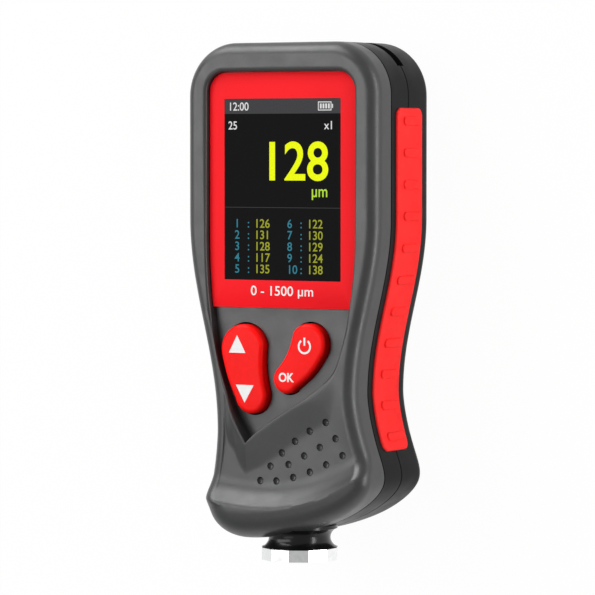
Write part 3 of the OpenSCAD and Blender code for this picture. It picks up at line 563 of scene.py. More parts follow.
class HousingLines:
    """The closed lines that the covers follow, point by point."""

    def __init__(self, s):
        upper = FLAT + ARC + STRAIGHT + WAIST
        relief = [0.0] * upper + [ease(i / FLARE) for i in range(FLARE)] + [1.0] * (BOTTOM + 1)
        self.outline = closed(outline_half(s, 1), outline_half(s, -1))
        self.recess = closed(recess_half(s, 1), recess_half(s, -1))
        self.relief = closed(relief, relief)
        self.count = len(self.outline)
        self.soften(s, reach=0.009, rounds=40)
        self.inward = []
        for i in range(self.count):
            along = (self.outline[(i + 1) % self.count] - self.outline[i - 1]).normalized()
            self.inward.append(Vector((along.y, -along.x)))
        self.width = self.evened([self.edge_width(s, i) for i in range(self.count)], rounds=30)
        self.crest = self.inset(self.width)

    def soften(self, s, reach, rounds):
        """Rounds the outline where the sides meet the bottom curve."""
        weights = []
        for p in self.outline:
            flare = s.flare_right if p.x > 0 else s.flare_left
            weights.append(0.5 * max(0.0, 1 - abs(y_at(flare[1]) - p.y) / reach))
        for _ in range(rounds):
            old = [p.copy() for p in self.outline]
            for i, w in enumerate(weights):
                middle = (old[i - 1] + old[(i + 1) % self.count]) / 2
                self.outline[i] = old[i].lerp(middle, w)

    def edge_width(self, s, i, steps=40):
        """Width of the front edge rounding: out to the lip crest below it, and the plain rim elsewhere."""
        for k in range(steps + 1):
            width = mix(s.rim_round, s.lip_round, k / steps)
            point = self.outline[i] + self.inward[i] * width
            if TOP_Y - point.y < crest_distance(s, point.x):
                return width
        return s.lip_round

    def evened(self, values, rounds):
        for _ in range(rounds):
            values = [(values[i - 1] + 2 * v + values[(i + 1) % self.count]) / 4 for i, v in enumerate(values)]
        return values

    def inset(self, amount):
        amounts = amount if isinstance(amount, list) else [amount] * self.count
        return [p + n * a for p, n, a in zip(self.outline, self.inward, amounts)]


def crest_distance(s, x):
    """Distance of the lip crest below the top end at a sideways place."""
    bend = s.crest_right if x > s.crest[0] else s.crest_left
    return s.crest[1] - bend * (x - s.crest[0]) ** 2


def lip_share(s, point, steepest=0.9):
    """Height share of the lip at a point of the front: hollow at first, steepest just below the rounded crest."""
    t = clamp(1 - (crest_distance(s, point.x) - (TOP_Y - point.y)) / s.slope_width)
    return t * t / steepest if t < steepest else 1 - (1 - t) ** 2 / (1 - steepest)


def cover_section(s, lines, i):
    """Cross-section of the front cover at one point of the outline, from the recess floor to its underside."""
    outer, inward, edge, crest = lines.outline[i], lines.inward[i], lines.recess[i], lines.crest[i]
    low, width = lines.relief[i], lines.width[i]
    spread = (crest - edge).length
    away = (crest - edge).normalized()
    drop = mix(s.rim_drop, s.lip_drop, (width - s.rim_round) / (s.lip_round - s.rim_round))
    mid_z, edge_z = mix(s.rim_z, s.field_z, low), mix(s.rim_z, s.ridge_z, low)
    top = mix(mid_z, s.lip_z, lip_share(s, crest))
    collar = min(s.collar_width, 0.45 * spread)
    soft, sink = mix(s.rim_edge, s.recess_edge, low), mix(s.rim_sink, s.recess_edge, low)
    line = [lift(edge, s.floor_z), lift(edge, mix(s.floor_z, edge_z, 0.6)), lift(edge, edge_z - sink)]
    line += [lift(edge + away * soft * (1 - cos), edge_z - sink + sink * sin) for cos, sin in quarter(8)[1:]]
    steps = 29
    for k in range(1, steps + 1):
        way = mix(soft, spread, k / steps)
        point = edge + away * way
        ramp = clamp(1 - (way - soft) / max(collar - soft, 1e-6))
        ramp = mix(ramp, smoothstep(ramp), 0.35)
        line.append(lift(point, mid_z + (edge_z - mid_z) * ramp + (s.lip_z - mid_z) * lip_share(s, point)))
    line += [lift(outer + inward * width * (1 - cos), top - drop + drop * sin) for cos, sin in quarter(18)[-2::-1]]
    joint, parting = s.joint_edge, s.front_parting
    wall = outer + inward * s.front_wall
    under = edge + away * min(s.front_wall, 0.6 * spread)
    under_z = mid_z - s.front_wall
    return line + [
        lift(outer, parting + 3 * joint), lift(outer, parting + joint), lift(outer + inward * joint, parting),
        lift(wall, parting), lift(wall, top - drop), lift(crest, top - s.front_wall),
        lift(under.lerp(crest, 0.66), under_z), lift(under.lerp(crest, 0.33), under_z),
        lift(under, edge_z - s.front_wall - s.recess_edge), lift(under, s.floor_z - s.floor_t)]


def bean(key, grow, per_side=28, per_cap=40):
    """Closed outline of a key, grown or shrunk by an amount."""
    upper, lower, upper_radius, lower_radius, bend, pinch = key
    upper, lower = spot(upper), spot(lower)
    along = (lower - upper).normalized()
    across = Vector((-along.y, along.x))
    start = math.atan2(along.y, along.x)

    def flank(side):
        line = []
        for i in range(1, per_side):
            t = i / per_side
            swell = math.sin(math.pi * t)
            radius = mix(upper_radius, lower_radius, t) - pinch * swell + grow
            line.append(upper.lerp(lower, t) + across * (side * radius + bend * swell))
        return line

    def cap(centre, radius, turn):
        return [centre + polar(start + turn + math.pi * i / per_cap, radius + grow) for i in range(per_cap + 1)]

    return (flank(-1) + cap(lower, lower_radius, -math.pi / 2)
            + flank(1)[::-1] + cap(upper, upper_radius, math.pi / 2))


def rounded_rectangle(x0, x1, y0, y1, radius, steps):
    line = []
    centres = ((x1 - radius, y1 - radius), (x0 + radius, y1 - radius),
               (x0 + radius, y0 + radius), (x1 - radius, y0 + radius))
    for q, centre in enumerate(centres):
        line += [Vector(centre) + polar(math.pi / 2 * (q + i / steps), radius) for i in range(steps + 1)]
    return line


def screen_outline(k, grow, radius, steps):
    """Outline of the visible screen, grown or shrunk by an amount."""
    half = k.screen[0] / 2 + grow
    return rounded_rectangle(-half, half, y_at(k.screen_top + k.screen[1] + grow), y_at(k.screen_top - grow),
                             radius, steps)


def shrunk(loop, amount):
    """A closed line moved inwards."""
    count = len(loop)
    moved = []
    for i in range(count):
        before = (loop[i] - loop[i - 1]).normalized()
        after = (loop[(i + 1) % count] - loop[i]).normalized()
        along = (before + after).normalized()
        inward = Vector((along.y, -along.x))
        corner = max(0.4, inward.dot(Vector((after.y, -after.x))))
        moved.append(loop[i] + inward * (amount / corner))
    return moved


# Materials


def feed(tree, socket, value):
    """Sets a socket to a value, or links another socket to it."""
    if isinstance(value, bpy.types.NodeSocket):
        tree.links.new(value, socket)
    else:
        socket.default_value = value


def node(tree, kind, inputs=None, **settings):
    """A new node with its settings and inputs."""
    made = tree.nodes.new(kind)
    for name, value in settings.items():
        setattr(made, name, value)
    for name, value in (inputs or {}).items():
        feed(tree, made.inputs[name], value)
    return made


def maths(tree, operation, a, b):
    return node(tree, "ShaderNodeMath", {0: a, 1: b}, operation=operation).outputs["Value"]


def shader(name):
    """A new material with its node tree."""
    material = bpy.data.materials.new(name)
    material.use_nodes = True
    return material, material.node_tree


def fed(material, inputs):
    """The material, with the inputs of its main shader set or linked."""
    tree = material.node_tree
    for name, value in inputs.items():
        feed(tree, tree.nodes["Principled BSDF"].inputs[name], value)
    return material


def noise(tree, scale, detail, stretch=None):
    """A fine pattern in the piece's own coordinates."""
    coords = node(tree, "ShaderNodeTexCoord").outputs["Object"]
    if stretch:
        coords = node(tree, "ShaderNodeMapping", {"Vector": coords, "Scale": stretch}).outputs["Vector"]
    return node(tree, "ShaderNodeTexNoise", {"Vector": coords, "Scale": scale, "Detail": detail}).outputs["Fac"]


# Range of a noise pattern that shows
NOISE_LOW, NOISE_HIGH = 0.3, 0.7


def spread(tree, source, low, high):
    """Maps a pattern to a range of values."""
    return node(tree, "ShaderNodeMapRange", {"Value": source, "From Min": NOISE_LOW, "From Max": NOISE_HIGH,
                                             "To Min": low, "To Max": high}).outputs["Result"]


def drifting(tree, source, colour, amount):
    """A colour that drifts a little lighter and darker over the surface."""
    ramp = node(tree, "ShaderNodeValToRGB", {"Fac": source})
    first, last = ramp.color_ramp.elements
    first.position, last.position = NOISE_LOW, NOISE_HIGH
    first.color = (*[c * (1 - amount) for c in colour], 1)
    last.color = (*[min(1.0, c * (1 + amount)) for c in colour], 1)
    return ramp.outputs["Color"]


def emboss(tree, source, strength, distance):
    return node(tree, "ShaderNodeBump", {"Height": source, "Strength": strength,
                                         "Distance": distance}).outputs["Normal"]


def moulded(name, colour, rough, grain=0.25, specular=0.5, drift=0.06):
    """Moulded plastic or rubber with a fine spark-eroded grain."""
    material, tree = shader(name)
    return fed(material, {
        "Specular IOR Level": specular,
        "Base Color": drifting(tree, noise(tree, 900, 3), colour, drift),
        "Roughness": spread(tree, noise(tree, 260, 3), rough - 0.05, rough + 0.05),
        "Normal": emboss(tree, noise(tree, 3400, 2), grain, 0.00004)})


def glossy(name, colour, rough, drift=0.03, specular=0.5):
    """Smooth coated sheet with a faint orange peel."""
    material, tree = shader(name)
    return fed(material, {
        "Specular IOR Level": specular,
        "Base Color": drifting(tree, noise(tree, 60, 2), colour, drift),
        "Roughness": spread(tree, noise(tree, 400, 2), rough - 0.02, rough + 0.02),
        "Normal": emboss(tree, noise(tree, 250, 1), 0.06, 0.00003)})


def metal(name, colour, rough, stretch=None, scale=1500, grain=0.08):
    """Bare or plated metal with fine tool marks."""
    material, tree = shader(name)
    marks = noise(tree, scale, 3, stretch)
    return fed(material, {
        "Metallic": 1.0,
        "Base Color": drifting(tree, marks, colour, 0.05),
        "Roughness": spread(tree, marks, rough - 0.04, rough + 0.06),
        "Normal": emboss(tree, marks, grain, 0.00002)})


def lit(name, colour):
    """Glowing pixels of the display, with a faint pixel pattern."""
    material, tree = shader(name)
    return fed(material, {
        "Base Color": (0.004, 0.004, 0.004, 1), "Roughness": 0.2, "Specular IOR Level": 0.02,
        "Emission Strength": 1.0, "Emission Color": drifting(tree, noise(tree, 2500, 1), colour, 0.06)})


def ink_mark(name, colour):
    """Flat printed ink."""
    material, tree = shader(name)
    return fed(material, {
        "Base Color": drifting(tree, noise(tree, 1500, 2), colour, 0.03),
        "Roughness": spread(tree, noise(tree, 700, 2), 0.45, 0.6)})


def once(name, maker, *values, **options):
    """A material of that name, made at its first use."""
    return bpy.data.materials.get(name) or maker(name, *values, **options)


def grey_plastic(f):
    return once("grey satin plastic", moulded, f.grey, 0.38, grain=0.12, specular=0.55)


def black_plastic(f):
    return once("black satin plastic", moulded, f.black, 0.38, grain=0.15, specular=0.08)


def dark_screen(f):
    return once("dark screen", glossy, f.screen, 0.2, specular=0.02)


def white_ink(f):
    return once("white ink", ink_mark, f.ink)


def steel():
    return once("turned steel", metal, (0.55, 0.55, 0.57), 0.28)


def spring_wire():
    return once("spring wire", metal, (0.5, 0.5, 0.52), 0.25)


# Words and signs as flat meshes


def add_text(bm, words, size, corner, z, align="LEFT", squeeze=1.0, weight=0.012):
    """Adds a line of words to a bmesh; size is the height of a digit and weight thickens the strokes."""
    font = bpy.data.curves.new("words", "FONT")
    font.body = words
    font.size = size / DIGIT
    font.align_x = align
    font.resolution_u = 6
    font.offset = weight * size
    font.extrude = FILM / 2
    holder = new_object("words", font)
    graph = bpy.context.evaluated_depsgraph_get()
    mesh = bpy.data.meshes.new_from_object(holder.evaluated_get(graph))
    mesh.transform(Matrix.Translation((*corner, z)) @ Matrix.Diagonal((squeeze, 1, 1, 1)))
    bm.from_mesh(mesh)
    bpy.data.objects.remove(holder)
    bpy.data.curves.remove(font)
    bpy.data.meshes.remove(mesh)


def add_plate(bm, points, z, concave=False):
    """Adds a thin flat plate to a bmesh."""
    cap_ends(bm, loft(bm, levels([(points, z - FILM / 2), (points, z + FILM / 2)])), concave)


def add_strip(bm, x0, x1, y0, y1, z):
    add_plate(bm, [(x0, y0), (x1, y0), (x1, y1), (x0, y1)], z)


# Geometry node trees for what repeats


def new_tree(name, inputs):
    """A tree with a geometry input, inputs of its own and a material input."""
    tree = bpy.data.node_groups.new(name, "GeometryNodeTree")
    for label, kind in {"Geometry": "Geometry", **inputs, "Material": "Material"}.items():
        tree.interface.new_socket(label, in_out="INPUT", socket_type="NodeSocket" + kind)
    tree.interface.new_socket("Geometry", in_out="OUTPUT", socket_type="NodeSocketGeometry")
    return tree, node(tree, "NodeGroupInput").outputs


def close_tree(tree, geometry, material):
    """Ends a tree in real geometry with its material."""
    real = node(tree, "GeometryNodeRealizeInstances", {"Geometry": geometry})
    coat = node(tree, "GeometryNodeSetMaterial", {"Geometry": real.outputs["Geometry"], "Material": material})
    node(tree, "NodeGroupOutput", {"Geometry": coat.outputs["Geometry"]})
    return tree


def run_tree(obj, tree, values, material):
    """Applies a tree to a piece with its inputs set, and keeps the result as a plain mesh."""
    step = obj.modifiers.new(tree.name, "NODES")
    step.node_group = tree
    values = {**values, "Material": material}
    for item in tree.interface.items_tree:
        if item.in_out == "INPUT" and item.name in values:
            step[item.identifier] = values[item.name]
    bake_down(obj, material)


def dimple_tree():
    """Presses round dimples into a cover at the points of another mesh."""
    tree, source = new_tree("Dimples", {"Places": "Object", "Ball Radius": "Float"})
    places = node(tree, "GeometryNodeObjectInfo", {"Object": source["Places"]})
    ball = node(tree, "GeometryNodeMeshUVSphere", {"Segments": 32, "Rings": 32, "Radius": source["Ball Radius"]})
    copies = node(tree, "GeometryNodeInstanceOnPoints",
                  {"Points": places.outputs["Geometry"], "Instance": ball.outputs["Mesh"]})
    balls = node(tree, "GeometryNodeRealizeInstances", {"Geometry": copies.outputs["Instances"]})
    press = node(tree, "GeometryNodeMeshBoolean", operation="DIFFERENCE", solver="EXACT")
    feed(tree, press.inputs["Mesh 1"], source["Geometry"])
    feed(tree, press.inputs["Mesh 2"], balls.outputs["Geometry"])
    return close_tree(tree, press.outputs["Mesh"], source["Material"])


def bar_tree():
    """Sets a raised bar on each point, turned to the side that the point's out attribute gives."""
    tree, source = new_tree("Grip Bars", {"Bar": "Object"})
    bar = node(tree, "GeometryNodeObjectInfo", {"Object": source["Bar"]})
    out = node(tree, "GeometryNodeInputNamedAttribute", {"Name": "out"}, data_type="FLOAT_VECTOR")
    turn = node(tree, "FunctionNodeAlignRotationToVector", {"Vector": out.outputs["Attribute"]},
                axis="X", pivot_axis="Z")
    copies = node(tree, "GeometryNodeInstanceOnPoints", {
        "Points": source["Geometry"], "Instance": bar.outputs["Geometry"], "Rotation": turn.outputs["Rotation"]})
    return close_tree(tree, copies.outputs["Instances"], source["Material"])


# Operators, one for each piece or group of like pieces


class GAUGE_OT_front_cover(bpy.types.Operator):
    """Grey front cover with its recess, collar, dimpled field and lip"""

    bl_idname = "gauge.front_cover"
    bl_label = "Front Cover"

    def execute(self, context):
        s, k = context.scene.gauge_housing, context.scene.gauge_fittings
        cover = self.shell(s, k)
        radius = (s.dimple_width ** 2 / 4 + s.dimple_depth ** 2) / (2 * s.dimple_depth)
        places = self.dimple_places(s.field_z + radius - s.dimple_depth)
        run_tree(cover, dimple_tree(), {"Places": places, "Ball Radius": radius},
                 grey_plastic(context.scene.gauge_finish))
        discard(places)
        if len(cover.data.polygons) < 1000:
            raise RuntimeError("the front cover came out empty")
        settle(cover, "front_cover")
        return {"FINISHED"}

    def shell(self, s, k, window_gap=0.0005):
        lines = HousingLines(s)
        bm = bmesh.new()
        rings = loft(bm, zip(*[cover_section(s, lines, i) for i in range(lines.count)]))
        holes = [screen_outline(k, window_gap, window_gap, 6), bean(ARROW_KEY, k.key_gap), bean(POWER_KEY, k.key_gap)]
        above, below = ([add_ring(bm, ring) for ring in levels([(hole, z) for hole in holes])]
                        for z in (s.floor_z, s.floor_z - s.floor_t))
        for high, low in zip(above, below):
            bridge(bm, high, low)
        fill(bm, rings[0], *above)
        fill(bm, rings[-1], *below)
        return build(bm, "front_cover_shell")

    def dimple_places(self, z):
        centres = []
        for first, step, bend, count in DIMPLE_ROWS:
            for i in range(count):
                x, d = (first[a] + step[a] * i + bend[a] * i * i for a in (0, 1))
                centres.append((x, y_at(d), z))
        return cloud("dimple places", centres)


class GAUGE_OT_black_case(bpy.types.Operator):
    """Black mid frame and rear cover with the strap slit, battery space and screw holes"""

    bl_idname = "gauge.black_case"
    bl_label = "Black Case"

    def execute(self, context):
        s, black = context.scene.gauge_housing, black_plastic(context.scene.gauge_finish)
        lines = HousingLines(s)
        self.mid_frame(s, lines, black)
        self.rear_cover(s, lines, black)
        return {"FINISHED"}

    def strap_slit(self, s, lines, corner_share=0.64):
        """Slit along the joint at the top right corner."""
        first, last = FLAT - 2, FLAT + int(ARC * corner_share)
        proud, deep = lines.inset(-PAST), lines.inset(s.wall + PAST)
        points = proud[first:last + 1] + deep[last:first - 1:-1]
        return prism("strap slit", points, s.rear_parting - s.slit_half, s.rear_parting + s.slit_half)

    def mid_frame(self, s, lines, black):
        edge, low, high = s.joint_edge, s.rear_parting, s.front_parting
        inner, bevel, outer = lines.inset(s.wall), lines.inset(edge), lines.outline
        bm = bmesh.new()
        rings = loft(bm, levels([(inner, low), (bevel, low), (outer, low + edge), (outer, low + 3 * edge),
                                 (outer, high - 3 * edge), (outer, high - edge), (bevel, high), (inner, high)]))
        bridge(bm, rings[-1], rings[0])
        band = build(bm, "mid_frame_band")
        carve(band, [self.strap_slit(s, lines)], black)
        settle(band, "mid_frame")

    def rear_cover(self, s, lines, black):
        edge, top = s.joint_edge, s.rear_parting
        pad = lines.inset(s.rear_round + 2 * s.pad_step)
        stack = [(pad, 0), (pad, s.pad_step)]
        stack += [(lines.inset(s.rear_round * (1 - sin)), s.pad_step + s.rear_round * (1 - cos))
                  for cos, sin in quarter(12)]
        stack += [(lines.outline, top - 3 * edge), (lines.outline, top - edge), (lines.inset(edge), top)]
        cover = solid("rear_cover_shell", levels(stack), concave=True)
        self.battery_space(s, lines, cover, black)
        settle(cover, "rear_cover")

    def battery_space(self, s, lines, cover, black):
        """Adds the hood over the cells, and cuts their bay and the other openings of the back."""
        cover_gap, cell_gap, roof_gap, ledge_gap = 0.0002, 0.00025, 0.0003, 0.0001
        hood_z, scoop_shift = 0.008, 0.0032
        lid_low, lid_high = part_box("battery_cover")
        bay_low, bay_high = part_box("battery_contacts")
        cells_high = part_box("battery_cells")[1]
        first, last = TOP_Y - bay_high[1], TOP_Y - bay_low[1]
        start, end = first - s.bay_wall, last + s.bay_wall
        half, roof = lid_high[0] + cover_gap, cells_high[2] + roof_gap
        carve(cover, [block("battery hood", half, start, end, hood_z, roof + s.bay_wall)], operation="UNION")
        carve(cover, [
            block("battery bay", cells_high[0] + cell_gap, first, last, -PAST, roof),
            block("battery ledge", half, start, end, -PAST, lid_high[2] + ledge_gap),
            *self.hinge_room(lid_low, lid_high, half),
            self.thumb_scoop(last + scoop_shift),
            self.strap_slit(s, lines),
            *self.screw_holes(s),
        ], black)

    def hinge_room(self, low, high, half, gap=0.00015):
        """Groove for the hinge of the battery cover, and room for the cover's edge below it as it swings open."""
        radius = (high[2] - low[2]) / 2
        wide, y, z = radius + gap, high[1] - radius, low[2] + radius
        profile = [(0, 0), (wide, 0), (wide, 2 * half), (0, 2 * half)]
        return [turned("hinge groove", profile, (-half, y, z), (1, 0, 0), 48),
                block("hinge relief", half, TOP_Y - y - wide, TOP_Y - y, -PAST, z)]

    def thumb_scoop(self, distance, radius=0.009, depth=0.0012, steps=48):
        turns = [math.pi * i / steps for i in range(steps + 1)]
        line = [(radius * math.sin(a), -radius * math.cos(a)) for a in turns]
        return turned("thumb scoop", line, (0, y_at(distance), depth - radius), (0, 0, 1), 96)

    def screw_holes(self, s):
        radius, depth = s.screw_radius, s.screw_depth
        line = [(0, -PAST), (radius, -PAST), (radius, depth), (0, depth)]
        return [turned("screw hole", line, lift(spot(screw), 0), (0, 0, 1), 48) for screw in SCREWS]


class GAUGE_OT_side_grips(bpy.types.Operator):
    """Soft red side grips with their raised bars"""

    bl_idname = "gauge.side_grips"
    bl_label = "Side Grips"

    def execute(self, context):
        s, k, f = context.scene.gauge_housing, context.scene.gauge_fittings, context.scene.gauge_finish
        red = once("red soft rubber", moulded, f.grip_red, 0.55, grain=0.2, specular=0.15)
        tree = bar_tree()
        bar = self.bar(k)
        for side, name in ((1, "side_grip_right"), (-1, "side_grip_left")):
            settle(self.pad(s, k, side, name + "_pad", red), name)
            bars = self.bar_points(s, k, side, name + "_bars")
            run_tree(bars, tree, {"Bar": bar}, red)
            settle(bars)
        discard(bar)
        return {"FINISHED"}

    def wall_frame(self, s, side, distance, step=0.0001):
        """Point on the side wall and its outward direction."""
        slope = (side_half(s, side, distance + step) - side_half(s, side, distance - step)) / (2 * step)
        out = Vector((side, slope)).normalized()
        return Vector((side * side_half(s, side, distance), y_at(distance))), out

    def pad(self, s, k, side, name, red, soft=0.0005, sink=0.0002, root=0.0008):
        """Rubber pad along the wall, with soft edges that sink into the wall."""
        ends = [0, 0.00004, 0.00012, 0.00025, 0.00045, 0.0007, 0.001, 0.0014, 0.002]
        steps, span = 90, k.grip_length - 2 * ends[-1]
        along = ends + [ends[-1] + span * i / steps for i in range(1, steps)]
        along += [k.grip_length - e for e in ends[::-1]]
        edge = [0, 0.008, 0.024, 0.05, 0.09, 0.14, 0.2]
        across = [-1 + e for e in edge] + [-0.5, -0.25, 0, 0.25, 0.5] + [1 - e for e in edge[::-1]]
        mid, corner = k.grip_z + k.grip_width / 2, k.grip_corner
        outer, inner = [], []
        bm = bmesh.new()
        for way in along:
            end = min(way, k.grip_length - way)
            half = k.grip_width / 2 - corner + math.sqrt(max(0.0, corner ** 2 - max(0.0, corner - end) ** 2))
            point, out = self.wall_frame(s, side, k.grip_top + way)
            high, low = [], []
            for t in across:
                near = min(end, (1 - abs(t)) * half, soft) / soft
                rise = mix(-sink, k.grip_proud, math.sqrt(1 - (1 - near) ** 2))
                z = mid + t * half
                high.append(bm.verts.new(lift(point + out * rise, z)))
                low.append(bm.verts.new(lift(point - out * root, z)))
            outer.append(high)
            inner.append(low)
        rows, columns = len(along), len(across)
        for grid in (outer, inner):
            for i in range(rows - 1):
                for j in range(columns - 1):
                    bm.faces.new((grid[i][j], grid[i][j + 1], grid[i + 1][j + 1], grid[i + 1][j]))
        rim = [(i, 0) for i in range(rows)] + [(rows - 1, j) for j in range(1, columns)]
        rim += [(i, columns - 1) for i in range(rows - 2, -1, -1)] + [(0, j) for j in range(columns - 2, 0, -1)]
        bridge(bm, [outer[i][j] for i, j in rim], [inner[i][j] for i, j in rim])
        return build(bm, name, red, 50)

    def bar(self, k, soft=0.0003, sliver=0.00001):
        """One rounded bar, standing out along X."""
        rings = []
        for cos, sin in quarter(6):
            shrink, rise = soft * (1 - cos), k.bar_proud - soft + soft * sin
            wide, tall = k.bar_width / 2 - shrink, k.bar_length / 2 - shrink
            flat = rounded_rectangle(-wide, wide, -tall, tall, wide - sliver, 10)
            rings.append([Vector((rise, p.x, p.y)) for p in flat])
        root = [Vector((-soft, p.y, p.z)) for p in rings[0]]
        return solid("grip bar", [root] + rings, sharp=60)

    def bar_points(self, s, k, side, name):
        pitch = (k.grip_length - 3 * k.bar_width) / (k.grip_bars - 1)
        z = k.grip_z + k.grip_width / 2 - k.bar_shift
        places, outs = [], []
        for i in range(k.grip_bars):
            point, out = self.wall_frame(s, side, k.grip_top + 1.5 * k.bar_width + i * pitch)
            places.append(lift(point + out * k.grip_proud, z))
            outs += [out.x, out.y, 0]
        bars = cloud(name, places)
        bars.data.attributes.new("out", "FLOAT_VECTOR", "POINT").data.foreach_set("vector", outs)
        return bars


class GAUGE_OT_window(bpy.types.Operator):
    """Red window panel, dark screen and its readings"""

    bl_idname = "gauge.window"
    bl_label = "Window and Screen"

    def execute(self, context):
        s, k, f = context.scene.gauge_housing, context.scene.gauge_fittings, context.scene.gauge_finish
        self.panel(s, k, f)
        self.screen(k, f)
        self.readings(k, f)
        return {"FINISHED"}

    def panel(self, s, k, f):
        bottom = y_at(k.panel_bottom)

        def trimmed(half, margin=0.0003):
            """The part of a recess edge above the panel's lower edge."""
            kept = [p for p in half if p.y > bottom + margin]
            before, after = kept[-1], half[len(kept)]
            return kept + [before.lerp(after, (before.y - bottom) / (before.y - after.y))]

        loop = trimmed(recess_half(s, 1)) + trimmed(recess_half(s, -1))[:0:-1]
        fit, edge, face = k.panel_fit, k.panel_edge, k.panel_z
        steps = ((fit, s.floor_z), (fit, face - edge), (fit + 0.3 * edge, face - 0.3 * edge), (fit + edge, face))
        bm = bmesh.new()
        rings = loft(bm, levels([(shrunk(loop, inset), z) for inset, z in steps]))
        window = screen_outline(k, 0, SCREEN_CORNER, 2)
        high, low = (add_ring(bm, ring) for ring in levels([(window, face), (window, s.floor_z)]))
        bridge(bm, high, low)
        fill(bm, rings[-1], high)
        fill(bm, rings[0], low)
        red = once("red printed panel", glossy, f.panel_red, 0.35, specular=0.05)
        settle(build(bm, "window_panel_sheet", red, 50), "window_panel")

    def screen(self, k, f, fit=0.00002, sink=0.00003, thickness=0.00057):
        outline = screen_outline(k, -fit, SCREEN_CORNER, 2)
        face = k.panel_z - sink
        settle(prism("screen_face", outline, face - thickness, face, dark_screen(f)))

    def readings(self, k, f):
        left, top = -k.screen[0] / 2, y_at(k.screen_top)
        z, bars_z = k.panel_z - 0.000015, k.panel_z - 0.000023

        def at(x, y):
            """A place on the screen, in millimetres from its upper left corner."""
            return left + x * 0.001, top - y * 0.001

        def add_strips(bm, strips, z):
            for first, last, high, low in strips:
                (x0, y1), (x1, y0) = at(first, high), at(last, low)
                add_strip(bm, x0, x1, y0, y1, z)

        bars, white, large, unit, labels, values = (bmesh.new() for _ in range(6))
        add_strips(bars, SCREEN_BARS, bars_z)
        add_strips(white, BATTERY_SIGN, z)
        for words, x, y, align in SCREEN_WORDS:
            add_text(white, words, WORD_SIZE, at(x, y), z, align, 0.95)
        add_text(large, "128", LARGE_SIZE, at(*LARGE_PLACE), z, "RIGHT", 0.98, 0.02)
        add_text(unit, "µm", UNIT_SIZE, at(*UNIT_PLACE), z, "RIGHT", 0.9)
        for column, (x, readings) in enumerate(SCREEN_COLUMNS):
            for row, reading in enumerate(readings):
                y = ROW_TOP + ROW_PITCH * row
                add_text(labels, str(len(readings) * column + row + 1), ROW_SIZE, at(x, y), z)
                add_text(labels, ":", ROW_SIZE, at(x + COLON_SHIFT, y), z)
                add_text(values, str(reading), ROW_SIZE, at(x + VALUE_SHIFT, y), z, "RIGHT")
        for bm, name, finish, colour in (
                (bars, "screen_bars", "screen grey", f.bars),
                (white, "screen_white_marks", "screen white", f.marks),
                (large, "screen_large_reading", "screen yellow", f.digits),
                (unit, "screen_unit", "screen lime", f.unit),
                (labels, "screen_row_labels", "screen teal", f.labels),
                (values, "screen_row_readings", "screen olive", f.values)):
            settle(build(bm, name, once(finish, lit, colour)))
        caption = bmesh.new()
        add_text(caption, "0 - 1500 µm", CAPTION_SIZE, (0, y_at(k.caption)), k.panel_z + FILM, "CENTER", 1.1)
        settle(build(caption, "panel_range_marks", white_ink(f)))


class GAUGE_OT_keys(bpy.types.Operator):
    """Red rocker keys with their white signs"""

    bl_idname = "gauge.keys"
    bl_label = "Keys"

    def execute(self, context):
        k, f = context.scene.gauge_fittings, context.scene.gauge_finish
        red = once("red key plastic", moulded, f.key_red, 0.32, grain=0.06, specular=0.08)
        for name, key, body, add_signs in (("arrow_key", ARROW_KEY, "arrow_rocker", self.add_arrows),
                                           ("power_key", POWER_KEY, "power_rocker", self.add_power_signs)):
            settle(self.cap(k, key, name + "_cap", red), name, body)
            bm = bmesh.new()
            add_signs(bm, k.key_top + FILM)
            settle(build(bm, name + "_signs", white_ink(f)), None, body)
        return {"FINISHED"}

    def cap(self, k, key, name, red):
        stack = [(bean(key, 0), k.key_bottom)]
        stack += [(bean(key, -k.key_round * (1 - cos)), k.key_top - k.key_round * (1 - sin))
                  for cos, sin in quarter(10)]
        return solid(name, levels(stack), red, 60, concave=True)

    def add_arrows(self, bm, z):
        for arrow in ARROWS:
            add_plate(bm, [spot(p) for p in arrow], z)

    def add_power_signs(self, bm, z, radius=0.0015, pen=0.00023, stroke=(0.0002, 0.0020)):
        """A ring that is open at the top, with a stroke, and the word below it."""
        centre, first, turn, steps = spot(POWER_SIGN), 125, 290, 40
        angles = [math.radians(first + turn * i / steps) for i in range(steps + 1)]
        ring = [centre + polar(a, radius + pen) for a in angles]
        ring += [centre + polar(a, radius - pen) for a in angles[::-1]]
        add_plate(bm, ring, z, concave=True)
        add_strip(bm, centre.x - pen, centre.x + pen, centre.y + stroke[0], centre.y + stroke[1], z)
        add_text(bm, "OK", OK_SIZE, spot(OK_SIGN), z, "CENTER", 0.95, 0.04)


